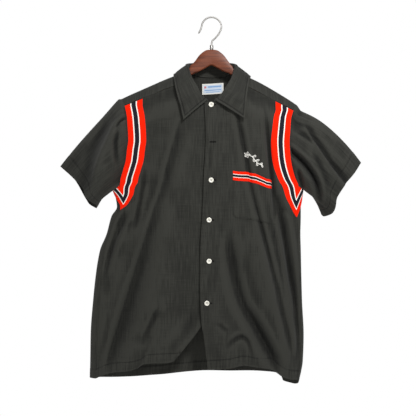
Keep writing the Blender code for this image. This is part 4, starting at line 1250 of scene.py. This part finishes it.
inset = np.linspace(0.12, COLLAR_ENDS - 0.12, 300)
near_edge = np.array([np.interp(length[-1] - COLLAR_STITCH, length, over) for length in fall])
lines = [on_sheet(sheets["collar"], np.interp(inset, at, near_edge), inset, COLLAR_SEWN)]
reach = np.linspace(4.5, np.interp(inset[0], at, near_edge), 40)
half_gap = np.linalg.norm(np.diff(collar_net(np.array([0.0, 0.5]), reach), axis=0)[0], axis=1)
spot = 0.5 * COLLAR_STITCH / half_gap
for end in (spot, COLLAR_ENDS - spot):
    lines.append(on_sheet(sheets["collar"], reach, end, COLLAR_SEWN))
stitches = add_seam("collar", lines)


# ---------------------------------------------------------------- the striped tape
# Ribbed knitted tape, red with two white stripes and a black one between them. It is laid on the fronts
# and the back along each armhole, sewn down at both edges, and mitred where the two meet at the side.

TAPE = 1.0
TAPE_WIDE = 44.0
TAPE_BEND_DROP = 404.0  # from here down the stripes run out to the side seam
ON_TOP = CLOTH / 2 + TAPE / 2
Tip = namedtuple("Tip", "stripe drop")
TAPE_TIPS = {
    1: [Tip(0, 414), Tip(15.5, 446), Tip(28.5, 468), Tip(44, 488)],
    -1: [Tip(0, 411), Tip(15.5, 437), Tip(28.5, 456), Tip(44, 470)],
}


def tape_finish():
    """Stripes across the tape's width, under the ribs and loops of its knit."""
    made, tree, shader = new_finish("striped_tape", 0.85, Specular_IOR_Level=0.06)
    stretched = grain_at(tree, (1000 / TAPE_WIDE, 1000, 1))
    across_tape = add_node(tree, "ShaderNodeSeparateXYZ", {"Vector": stretched})
    red, white, black = (0.84, 0.014, 0.001), (0.82, 0.80, 0.74), (0.014, 0.013, 0.019)
    edges = [at / TAPE_WIDE for at in (0, 14, 16.7, 27.4, 30, TAPE_WIDE)]
    stripes = colours(
        tree, across_tape.outputs["X"], *zip(edges, (red, white, black, white, red))
    )
    stripes.color_ramp.interpolation = "CONSTANT"
    ribs = bands(tree, grain_at(tree, (1000, 0, 0)), 0.22, "X")
    knit = bands(tree, grain_at(tree, (0, 1000, 0)), 0.3, "Y")
    loops = add_node(tree, "ShaderNodeMath", {0: ribs, 1: knit}, operation="MULTIPLY")
    tree.links.new(stripes.outputs[0], shader.inputs["Base Color"])
    tree.links.new(relief(tree, loops.outputs[0], 0.5, 0.0004), shader.inputs["Normal"])
    return made


striped = tape_finish()
red_thread = thread_finish("red_thread", (0.6, 0.02, 0.01), 0.6)


def tape_route(front, top_drops, rows):
    """The tape's stripes as columns: how far each is from the armhole's edge, and its drops."""
    stripe = np.linspace(0.6, TAPE_WIDE, 15)
    tip = read(TAPE_TIPS[front.side], "stripe", "drop", stripe)
    drop = mix(top_drops(stripe), tip, np.linspace(0, 1, rows)[:, None] ** 0.9)
    bent = np.clip((tip - drop) / (tip - TAPE_BEND_DROP), 0, 1)
    return stripe, stripe * bent**0.9, drop


def lay_tape(name, node, sheet, u, v, stripe, drop):
    """A strip of the tape laid on a sheet at these places and sewn down along both edges."""
    net, normals = on_sheet(sheet, u, v, ON_TOP)
    grain = np.stack([np.broadcast_to(stripe, drop.shape), -drop], axis=-1)
    mesh = cloth_mesh(name, net, normals, TAPE, striped, grain)
    tape = add_piece(name, mesh, "root", "striped_tape", node)
    lines = [(net[:, i] + normals[:, i] * TAPE / 2, normals[:, i]) for i in (0, -1)]
    stitches = add_seam(name, lines, "striped_tape", red_thread, 0.35)


for front, side in ((FRONT_LEFT, "left"), (FRONT_RIGHT, "right")):
    start, top = front.outer[0], front.top[-1]
    stripe, away, drop = tape_route(
        front,
        lambda gone: mix(start.drop, top.drop, gone / (start.out - top.out)) + 1,
        90,
    )
    u, v = on_front(front, read(front.outer, "drop", "out", drop) - away, drop)
    lay_tape(
        f"tape_front_{side}", f"trim_front_{side}", sheets[f"front_{side}"], u, v, stripe, drop,
    )

    stripe, away, drop = tape_route(front, lambda gone: np.full(len(gone), BACK_TOP_DROP + 1.0), 70)
    u = away / BACK_GIRTH
    lay_tape(
        f"tape_back_{side}", f"trim_back_{side}", sheets["back"], 1 - u if front.side > 0 else u,
        (drop - BACK_TOP_DROP) / (SIDES[-1].drop - BACK_TOP_DROP), stripe, drop,
    )


# ---------------------------------------------------------------- the chest pocket
# A patch of the shirting on the left front, turned in and stitched round three sides. Its mouth is
# bound by a narrower strip of the same striped tape.

Corner = namedtuple("Corner", "out drop")
POCKET = [Corner(51, 377), Corner(143, 399), Corner(141, 503), Corner(51, 488)]
POCKET_SEAT = 1.0      # from the middle of the front's cloth to the middle of its own
POCKET_TAPE = 22.0
POCKET_CUT = 0.07      # share of the width over which the inner lower corner is cut off

top_in, top_out, low_out, low_in = (np.array(corner, float) for corner in POCKET)
across, down = np.linspace(0, 1, 60), np.linspace(0, 1, 64)
u, v = np.meshgrid(across, down)


def on_pocket(u, v):
    """Out and drop on the front: the mouth runs level and then dips with the cloth's fold."""
    flat = mix(mix(top_in, top_out, u[..., None]), mix(low_in, low_out, u[..., None]), v[..., None])
    flat[..., 1] -= 24 * u * (1 - u) * np.sin(math.pi * u) * (1 - 0.7 * v)
    flat[..., 1] -= 7 * np.clip(1 - u / POCKET_CUT, 0, 1) * v**4
    return flat[..., 0], flat[..., 1]


out, drop = on_pocket(u, v)
net, normals = on_sheet(sheets["front_left"], *on_front(FRONT_LEFT, out, drop), POCKET_SEAT)
bulge = ease(u / 0.06) * ease((1 - u) / 0.06) * ease((1 - v) / 0.06)
net = net + normals * (bulge * (0.8 + rumpled(out, drop, 60, 0.25, 61)))[..., None]
normals = facing(net, -1)
sheets["pocket"] = Sheet(net, normals, across, down)
mesh = cloth_mesh("pocket_cloth", net, normals, CLOTH, shirting, np.stack([out, -drop], axis=-1))
pocket = add_piece("pocket_cloth", mesh, "root", "shirting", "pocket")
rim_u = np.concatenate([np.full(40, 0.022), np.linspace(0.022, 0.978, 40), np.full(40, 0.978)])
rim_v = np.concatenate([np.linspace(0.21, 0.982, 40), np.full(40, 0.982), np.linspace(0.982, 0.21, 40)])
stitches = add_seam("pocket", [on_sheet(sheets["pocket"], rim_u, rim_v, ON_CLOTH)])

tall = np.linalg.norm(low_in - top_in)
rows = np.linspace(-0.004, POCKET_TAPE / tall, 24)
u, v = np.meshgrid(across, rows)
net, normals = on_sheet(sheets["pocket"], u, v, ON_TOP)
grain = np.stack([(v - rows[0]) / (rows[-1] - rows[0]) * TAPE_WIDE, u * 100], axis=-1)
mesh = cloth_mesh("tape_pocket", net, normals, TAPE, striped, grain)
tape = add_piece("tape_pocket", mesh, "root", "striped_tape", "pocket_trim")
lines = [(net[i, :] + normals[i, :] * TAPE / 2, normals[i, :]) for i in (1, -2)]
stitches = add_seam("tape_pocket", lines, "striped_tape", red_thread, 0.35)


# ---------------------------------------------------------------- the label
# A pale blue woven label with a white border, sewn to the yoke inside the back neck along its top.

LABEL_X = (-23.0, 30.0)
LABEL_DROP = (155.0, 181.0)
LABEL_CLOTH = 0.5
LABEL_SEAT = CLOTH / 2 + 0.6 + LABEL_CLOTH / 2


def label_finish():
    """Pale satin weave, with a white border, three blue bands and a small red square."""
    made, tree, shader = new_finish("woven_label", 0.6, Sheen_Weight=0.15)
    wide, tall = LABEL_X[1] - LABEL_X[0], LABEL_DROP[1] - LABEL_DROP[0]
    place = add_node(tree, "ShaderNodeSeparateXYZ", {"Vector": grain_at(tree, (1000, 1000, 1))})

    def within(axis, low, high):
        values = {0: place.outputs[axis], 1: (low + high) / 2, 2: (high - low) / 2}
        return add_node(tree, "ShaderNodeMath", values, operation="COMPARE").outputs[0]

    def patch(left, right, top, low):
        values = {0: within("X", left, right), 1: within("Y", top, low)}
        return add_node(tree, "ShaderNodeMath", values, operation="MULTIPLY").outputs[0]

    def laid(under, shape, colour):
        values = {"Factor": shape, "A": under, "B": (*colour, 1)}
        return add_node(tree, "ShaderNodeMix", values, data_type="RGBA").outputs["Result"]

    white, pale = (0.72, 0.71, 0.66), (0.50, 0.58, 0.68)
    blue, red = (0.16, 0.30, 0.55), (0.55, 0.16, 0.17)
    look = add_node(tree, "ShaderNodeRGB")
    look.outputs[0].default_value = (*white, 1)
    look = laid(look.outputs[0], patch(3, wide - 3, 3, tall - 3), pale)
    look = laid(look, patch(5, 10, 6, 11), red)
    look = laid(look, patch(14, wide - 6, 6, 9.5), blue)
    look = laid(look, patch(6, wide - 6, 15, 17), blue)
    look = laid(look, patch(10, wide - 10, 20, 21.2), blue)
    weave = bands(tree, grain_at(tree, (1000, 1000, 1)), 0.5, "Y")
    tree.links.new(look, shader.inputs["Base Color"])
    tree.links.new(relief(tree, weave, 0.3, 0.0002), shader.inputs["Normal"])
    return made


def on_yoke_back(x, drop):
    """The yoke's u and v at places on its back."""
    low, high = np.full(x.shape, 0.3), np.full(x.shape, 0.7)
    for _ in range(30):
        turn = (low + high) / 2
        inner, outer = YOKE(turn, 0.0), YOKE(turn, 1.0)
        out = (-drop - inner[..., 2]) / (outer[..., 2] - inner[..., 2])
        right = mix(inner[..., 0], outer[..., 0], out) < x
        low, high = np.where(right, turn, low), np.where(right, high, turn)
    return turn, out


woven = label_finish()
x, drop = np.meshgrid(np.linspace(*LABEL_X, 40), np.linspace(*LABEL_DROP, 22))
slant = 1.5 - 3 * (x - LABEL_X[0]) / (LABEL_X[1] - LABEL_X[0])
net, normals = on_sheet(sheets["yoke"], *on_yoke_back(x, drop + slant), LABEL_SEAT)
droop = ease((drop - LABEL_DROP[0]) / (LABEL_DROP[1] - LABEL_DROP[0])) * (0.8 + 0.5 * np.sin(x / 7))
net = net + normals * droop[..., None]
normals = facing(net, -1)
grain = np.stack([x - LABEL_X[0], drop - LABEL_DROP[0]], axis=-1)
mesh = cloth_mesh("label_woven", net, normals, LABEL_CLOTH, woven, grain)
label = add_piece("label_woven", mesh, "root", "woven_label", "label")
white_thread = thread_finish("white_thread", (0.75, 0.74, 0.70), 0.5)
lines = [(net[1] + normals[1] * LABEL_CLOTH / 2, normals[1])]
mesh = sewn("label_stitches", bars, lines, white_thread, 1.8, 0.4, 0.3)
stitches = add_piece("label_stitches", mesh, "root", "woven_label")


# ---------------------------------------------------------------- buttons and buttonholes
# Five four-hole shirt buttons of cast plastic, turned with a raised rim and sewn on with black thread.
# Each comes through a stitched slit in the left front. The second slit's button is missing.

Place = namedtuple("Place", "out drop")
BUTTONS = [Place(-1, 219), Place(-1, 399), Place(-6, 494), Place(-6, 592), Place(-11, 692)]
EMPTY_HOLE = Place(3, 308)
HOLE_LONG = 15.0
# Radius and height, from the middle of the face over the rim to the middle of the back.
BUTTON_PROFILE = [
    (0, 0.2), (3.4, 0.2), (4.0, 0.7), (4.6, 1.15), (5.2, 1.25), (5.7, 1.0), (6.0, 0.4), (5.8, -0.3),
    (5.0, -0.8), (3.0, -1.1), (0, -1.15),
]
BUTTON_SEAT = CLOTH / 2 + 1.5
THREAD_HOLE = 0.75     # radius
THREAD_HOLE_OUT = 1.35


def button_finish():
    """Cream pearled plastic: cloudy swirls under a glossy surface."""
    made, tree, shader = new_finish("button_plastic", 0.25, Coat_Weight=0.4, Coat_Roughness=0.12)
    swirls = clouds(tree, 160.0, Distortion=1.5)
    tone = colours(tree, swirls, (0.3, (0.62, 0.60, 0.52)), (0.65, (0.84, 0.82, 0.74)))
    tree.links.new(tone.outputs[0], shader.inputs["Base Color"])
    return made


def turned_mesh(name, profile, sides, finish):
    """A solid turned about Z from its profile, (radius, height) points that go down its outside."""
    turn = np.linspace(0, 2 * math.pi, sides, endpoint=False)
    points, rows = [], []
    for radius, height in profile:
        around = turn if radius > 0 else turn[:1]
        rows.append([len(points) + i % len(around) for i in range(sides)])
        points += [(radius * math.cos(a), radius * math.sin(a), height) for a in around]
    if profile[0][0] > 0:
        rows.append(rows[0])
    faces = []
    for upper, lower in zip(rows, rows[1:]):
        for i in range(sides):
            beside = (i + 1) % sides
            corners = [upper[i], lower[i], lower[beside], upper[beside]]
            faces.append(list(dict.fromkeys(corners)))
    mesh = bpy.data.meshes.new(name)
    mesh.from_pydata(np.array(points) * MM, [], faces)
    mesh.materials.append(finish)
    mesh.shade_smooth()
    mesh.set_sharp_from_angle(angle=math.radians(40))
    return mesh


def pierced(mesh, places, radius, depth):
    """The mesh with round holes bored along Z."""
    holder = bpy.data.objects.new(mesh.name, mesh)
    bpy.context.scene.collection.objects.link(holder)
    drill = bmesh.new()
    for x, y in places:
        at = mathutils.Matrix.Translation((x * MM, y * MM, 0))
        bmesh.ops.create_cone(
            drill, cap_ends=True, segments=14, radius1=radius * MM, radius2=radius * MM,
            depth=depth * MM, matrix=at,
        )
    drill_mesh = bpy.data.meshes.new("drill")
    drill.to_mesh(drill_mesh)
    drill.free()
    drill_object = bpy.data.objects.new("drill", drill_mesh)
    bpy.context.scene.collection.objects.link(drill_object)
    cut = holder.modifiers.new("holes", "BOOLEAN")
    cut.object, cut.operation, cut.solver = drill_object, "DIFFERENCE", "EXACT"
    made = bpy.data.meshes.new_from_object(
        holder.evaluated_get(bpy.context.evaluated_depsgraph_get())
    )
    bpy.data.objects.remove(holder)
    bpy.data.objects.remove(drill_object)
    return made


def stand_on(points, normal, seat):
    """Turns points made about +Z to stand on a place with this normal, with their X kept level."""
    side = np.cross([0, 0, 1], normal)
    side = side / np.linalg.norm(side)
    return points @ np.stack([side, np.cross(normal, side), normal]) + seat


plastic = button_finish()
holes = [(x * THREAD_HOLE_OUT, y * THREAD_HOLE_OUT) for x in (-1, 1) for y in (-1, 1)]
button = pierced(turned_mesh("button", BUTTON_PROFILE, 40, plastic), holes, THREAD_HOLE, 6)
button_points = np.empty(len(button.vertices) * 3)
button.vertices.foreach_get("co", button_points)
button_points = button_points.reshape(-1, 3)

left_front = sheets["front_left"]
for number, place in enumerate(BUTTONS, 1):
    u, v = on_front(FRONT_LEFT, place.out, place.drop)
    seat, normal = on_sheet(left_front, u, v, BUTTON_SEAT)
    normal = mix(normal, np.array([0, -1, 0]), 0.5)
    normal = normal / np.linalg.norm(normal)
    mesh = button.copy()
    mesh.name = f"button_{number}_plastic"
    turned = stand_on(button_points, normal, seat * MM)
    mesh.vertices.foreach_set("co", turned.ravel())
    mesh.update()
    add_piece(f"button_{number}_plastic", mesh, "root", "button_plastic", f"button_{number}")

    lines = []
    for y in (-THREAD_HOLE_OUT, THREAD_HOLE_OUT):
        x = np.linspace(-1, 1, 9) * (THREAD_HOLE_OUT + 0.35)
        arch = 0.75 - 1.6 * (np.abs(x) / x.max()) ** 5
        strand = np.stack([x, np.full(9, y), arch], axis=-1)
        lines.append((stand_on(strand, normal, seat), np.tile(normal, (9, 1))))
    mesh = sewn(f"button_{number}_thread", bars, lines, black_thread, 0.45, 0.75, 0.5, length=1.6)
    add_piece(f"button_{number}_thread", mesh, "root", "button_plastic")

lines = []
for place in [Place(each.out + 4, each.drop) for each in BUTTONS] + [EMPTY_HOLE]:
    turn = np.linspace(0, 1.97 * math.pi, 60)
    x = place.out + np.clip(1.6 * np.cos(turn), -1, 1) * HOLE_LONG / 2
    low = place.drop + np.clip(1.8 * np.sin(turn), -1, 1) * 0.9
    lines.append(on_sheet(left_front, *on_front(FRONT_LEFT, x, low), ON_CLOTH))
# Black buttonhole thread, painted darker than the other black thread as painted shade in the slit.
hole_thread = thread_finish("hole_thread", (0.004, 0.004, 0.004), 0.8, sheen=0.0, gloss=0.05)
mesh = sewn("buttonhole_stitches", bars, lines, hole_thread, 0.5, 1.9, 0.7, length=0.9)
add_piece("buttonhole_stitches", mesh, "root", "shirting")


# ---------------------------------------------------------------- the embroidery
# A small sprig in white chain stitch over the pocket: a five-petalled flower and a stem with leaves.

SPRIG = Place(85, 338)   # the flower's centre
SPRIG_TURN = -0.59       # it falls towards the side
PETAL = 7.0
Leaf = namedtuple("Leaf", "along reach lean")
LEAVES = [
    Leaf(13, 9, 0.9), Leaf(17, 9, -0.8), Leaf(25, 8.5, 0.9), Leaf(29, 8, -0.8), Leaf(37, 7, 0.8),
    Leaf(42, 6.5, -0.5),
]


def turned_by(line, angle):
    """A flat line's points turned about their origin."""
    cos, sin = math.cos(angle), math.sin(angle)
    return line @ np.array([[cos, sin], [-sin, cos]])


def loop_at(root, reach, lean):
    """A narrow petal or leaf, out from its root and back."""
    a = np.linspace(0, math.pi, 24)
    loop = np.stack([reach * np.sin(a), reach * 0.2 * np.sin(2 * a)], axis=-1)
    return root + turned_by(loop, lean)


def sprig_lines():
    """The flower, the stem and its leaves as lines of (along, up) from the flower's centre."""
    along = np.linspace(2, 44, 60)
    stem = np.stack([along, 2.6 * np.sin(along / 44 * 2 * math.pi)], axis=-1)
    lines = [stem] + [loop_at(np.zeros(2), PETAL, 0.6 + 2 * math.pi * i / 5) for i in range(5)]
    for leaf in LEAVES:
        root = np.array([leaf.along, np.interp(leaf.along, stem[:, 0], stem[:, 1])])
        lines.append(loop_at(root, leaf.reach, leaf.lean))
    return lines


lines = []
for line in sprig_lines():
    flat = turned_by(line, SPRIG_TURN)
    u, v = on_front(FRONT_LEFT, SPRIG.out + flat[:, 0], SPRIG.drop - flat[:, 1])
    lines.append(on_sheet(left_front, u, v, CLOTH / 2 + 0.4))
embroidery_thread = thread_finish("embroidery_thread", (0.92, 0.90, 0.84), 0.5)
mesh = sewn("sprig_chain", links, lines, embroidery_thread, 1.7, 1.5, 1.2, length=1.3)
add_piece("sprig_chain", mesh, "root", "shirting")


# ---------------------------------------------------------------- the hanger
# Flat arms of one board, dyed and varnished red-brown, with all edges rounded. A steel wire hook is set
# in its top through a plain turned ferrule.

Arm = namedtuple("Arm", "x top bottom")
HANGER_ARMS = [
    Arm(-216, 203, 218),
    Arm(-204, 195.5, 216),
    Arm(-153, 171.5, 194),
    Arm(-92, 146, 168),
    Arm(-64, 136, 152),
    Arm(-58, 130, 147),
    Arm(-52, 118, 142),
    Arm(-42, 108, 136),
    Arm(-27, 89, 130),
    Arm(-11, 79, 121),
    Arm(0, 78, 116),
    Arm(11, 79, 121),
    Arm(27, 89, 130),
    Arm(42, 108, 136),
    Arm(52, 121, 142),
    Arm(59, 134.5, 149),
    Arm(66, 140, 155),
    Arm(92, 151.5, 173),
    Arm(131, 173, 194),
    Arm(170, 194, 214),
    Arm(196, 209.5, 226),
    Arm(206, 217, 228),
]
HANGER_HALF_THICK = 6.0
WIRE_RADIUS = 2.0
HOOK_RADIUS = 24.0
HOOK_BENDS = [(19, -37), (8.5, -50), (1.5, -57), (0, -66)]
HOOK_MOUTH = [(-27, -29), (-32, -38)]
HOOK_FOOT_DROP = 77.4
FERRULE_RADIUS = 4.6
FERRULE_DROP = (66.0, 77.7)


def wood_finish():
    """Straight grain along the arms under a satin varnish, with a few darker streaks."""
    made, tree, shader = new_finish("hanger_wood", 0.42, Specular_IOR_Level=0.22)
    place = add_node(tree, "ShaderNodeTexCoord")
    long_grain = add_node(
        tree, "ShaderNodeMapping", {"Vector": place.outputs["Object"], "Scale": (14, 160, 160)}
    )
    streak = add_node(
        tree, "ShaderNodeTexNoise", {"Vector": long_grain.outputs[0], "Scale": 1.0, "Detail": 5.0}
    )
    pore_grain = add_node(
        tree, "ShaderNodeMapping", {"Vector": place.outputs["Object"], "Scale": (90, 1400, 1400)}
    )
    pores = add_node(tree, "ShaderNodeTexNoise", {"Vector": pore_grain.outputs[0], "Scale": 1.0})
    varnished = relief(tree, pores.outputs["Fac"], 0.2, 0.0002)
    tone = colours(
        tree, streak.outputs["Fac"], (0.32, (0.072, 0.018, 0.008)), (0.5, (0.128, 0.032, 0.012)),
        (0.68, (0.17, 0.046, 0.018)),
    )
    tree.links.new(tone.outputs[0], shader.inputs["Base Color"])
    tree.links.new(varnished, shader.inputs["Normal"])
    return made


def steel_finish():
    """Drawn wire, polished, a little dulled in patches."""
    made, tree, shader = new_finish("hook_wire", 0.45, Metallic=1.0)
    patches = clouds(tree, 60.0)
    tone = colours(tree, patches, (0.35, (0.30, 0.29, 0.28)), (0.65, (0.37, 0.36, 0.34)))
    dull = add_node(tree, "ShaderNodeMapRange", {"Value": patches, "To Min": 0.4, "To Max": 0.5})
    tree.links.new(tone.outputs[0], shader.inputs["Base Color"])
    tree.links.new(dull.outputs[0], shader.inputs["Roughness"])
    return made


def tube_mesh(name, rings, finish):
    """A closed solid through rings of points, capped at both ends."""
    count = rings.shape[1]
    points = rings.reshape(-1, 3)
    r, c = np.mgrid[0 : len(rings) - 1, 0:count]
    here, beside = (r * count + c).ravel(), (r * count + (c + 1) % count).ravel()
    faces = np.stack([here, beside, beside + count, here + count], axis=1).tolist()
    faces += [list(range(count))[::-1], list(range(len(points) - count, len(points)))]
    mesh = bpy.data.meshes.new(name)
    mesh.from_pydata(points * MM, [], faces)
    shaped = bmesh.new()
    shaped.from_mesh(mesh)
    bmesh.ops.recalc_face_normals(shaped, faces=shaped.faces)
    shaped.to_mesh(mesh)
    shaped.free()
    mesh.materials.append(finish)
    mesh.shade_smooth()
    mesh.set_sharp_from_angle(angle=math.radians(50))
    return mesh


wood, steel = wood_finish(), steel_finish()
right_tip, left_tip = HANGER_ARMS[0].x, HANGER_ARMS[-1].x
x = np.concatenate(
    [
        np.linspace(right_tip, right_tip + 4, 6),
        np.linspace(right_tip + 8, left_tip - 8, 160),
        np.linspace(left_tip - 4, left_tip, 6),
    ]
)
high, low = -read(HANGER_ARMS, "x", "top", x), -read(HANGER_ARMS, "x", "bottom", x)
rings = []
for at, top, bottom in zip(x, high, low):
    end = min(at - right_tip, left_tip - at, 8) / 8
    narrow = math.sqrt(max(1 - (1 - end) ** 2, 0.02))
    half_tall, half_thick = (top - bottom) / 2, HANGER_HALF_THICK * (0.6 + 0.4 * narrow)
    a = np.linspace(0, 2 * math.pi, 40, endpoint=False)
    corner = min(3.5, half_tall * 0.8)
    core_y, core_z = half_thick - corner, half_tall - corner
    rings.append(
        np.stack(
            [
                np.full(40, at),
                np.sign(np.cos(a).round(9)) * core_y + corner * np.cos(a),
                (top + bottom) / 2 + np.sign(np.sin(a).round(9)) * core_z + corner * np.sin(a),
            ],
            axis=-1,
        )
    )
mesh = tube_mesh("hanger_board", np.array(rings), wood)
add_piece("hanger_board", mesh, "root", "hanger_wood", "hanger_wood")

angle = np.linspace(math.radians(-8), math.radians(172), 19)
arc = [(HOOK_RADIUS * math.cos(a), HOOK_RADIUS * (math.sin(a) - 1) + WIRE_RADIUS) for a in angle]
route = np.array([(0, -HOOK_FOOT_DROP)] + HOOK_BENDS[::-1] + arc + HOOK_MOUTH, float)
keys = np.arange(len(route))
fine = np.linspace(0, len(route) - 1, 220)
line = np.stack([smooth(keys, route[:, 0], fine), smooth(keys, route[:, 1], fine)], axis=-1)
ahead = np.gradient(line, axis=0)
ahead = ahead / np.linalg.norm(ahead, axis=1, keepdims=True)
a = np.linspace(0, 2 * math.pi, 16, endpoint=False)
wire = np.full(len(line), WIRE_RADIUS)
wire[-4:] = WIRE_RADIUS * np.array([0.97, 0.88, 0.7, 0.35])
rings = np.stack(
    [
        line[:, :1] - ahead[:, 1:] * wire[:, None] * np.cos(a),
        wire[:, None] * np.sin(a),
        line[:, 1:] + ahead[:, :1] * wire[:, None] * np.cos(a),
    ],
    axis=-1,
)
add_piece("hook_steel", tube_mesh("hook_steel", rings, steel), "root", "hook_wire", "hanger_hook")

bore, rim = WIRE_RADIUS + 0.35, FERRULE_RADIUS
top, foot = -FERRULE_DROP[0], -FERRULE_DROP[1]
# From the bore over the domed top, down past a groove above the foot, and back to the bore.
profile = [
    (bore, top), (bore + 0.5, top + 0.2), (rim - 1.2, top - 0.3), (rim - 0.3, top - 1.2), (rim, top - 2.2),
    (rim, foot + 3), (rim - 0.5, foot + 2.6), (rim - 0.5, foot + 1.8), (rim, foot + 1.4), (rim, foot),
    (bore, foot),
]
mesh = turned_mesh("ferrule_steel", profile, 40, steel)
add_piece("ferrule_steel", mesh, "root", "hook_wire", "hanger_ferrule")


# ---------------------------------------------------------------- camera, light and room
# White surroundings and a pale floor far below. The light is a soft lamp in front, above and to the
# right, a weak one beside the camera, one behind for the back, and a broad glow from the ceiling.

ROOM_LIGHT = 0.33      # the white surroundings as a light
ROOM_SEEN = 1.0        # and as the camera sees them
CEILING_LIGHT = 1.1    # falls mostly on the floor
FLOOR = -2.0
Lamp = namedtuple("Lamp", "name place aim size watts")
LAMPS = [
    Lamp("window", (0.5, -1.4, 0.5), (0, 0, -0.4), 0.3, 26),
    Lamp("fill", (-0.1, -1.7, -0.55), (0, 0, -0.5), 0.8, 4),
    Lamp("rear", (-1.1, 1.5, 0.2), (0, 0, -0.5), 0.5, 22),
]

camera = bpy.data.objects.new("camera", bpy.data.cameras.new("camera"))
camera.location = (-0.0086, -1.6, -0.4655)
camera.rotation_euler = (math.radians(90), 0, 0)
camera.data.lens = 56.5
bpy.context.scene.collection.objects.link(camera)
bpy.context.scene.camera = camera

pale = new_finish("floor_pale", 0.9, Base_Color=(0.93, 0.93, 0.92, 1))[0]
panel = bpy.data.meshes.new("floor")
corners = [(-30, -30, FLOOR), (30, -30, FLOOR), (30, 2.6, FLOOR), (-30, 2.6, FLOOR)]
panel.from_pydata(corners, [], [(0, 1, 2, 3)])
panel.materials.append(pale)
floor = bpy.data.objects.new("floor", panel)
bpy.context.scene.collection.objects.link(floor)

world = bpy.data.worlds.new("studio")
world.use_nodes = True
sky = world.node_tree.nodes["Background"]
sky.inputs["Color"].default_value = (1, 1, 1, 1)
seen = add_node(world.node_tree, "ShaderNodeLightPath")
strength = add_node(
    world.node_tree, "ShaderNodeMapRange",
    {"Value": seen.outputs["Is Camera Ray"], "To Min": ROOM_LIGHT, "To Max": ROOM_SEEN},
)
world.node_tree.links.new(strength.outputs[0], sky.inputs["Strength"])
bpy.context.scene.world = world
bpy.context.scene.view_settings.view_transform = "Standard"

for name, place, aim, size, watts in LAMPS:
    lamp = bpy.data.objects.new(name, bpy.data.lights.new(name, "AREA"))
    lamp.data.size, lamp.data.energy = size, watts
    lamp.location = place
    ahead = mathutils.Vector(aim) - mathutils.Vector(place)
    lamp.rotation_euler = ahead.to_track_quat("-Z", "Y").to_euler()
    bpy.context.scene.collection.objects.link(lamp)

ceiling = bpy.data.objects.new("ceiling", bpy.data.lights.new("ceiling", "SUN"))
ceiling.data.energy, ceiling.data.angle = CEILING_LIGHT, math.radians(30)
bpy.context.scene.collection.objects.link(ceiling)
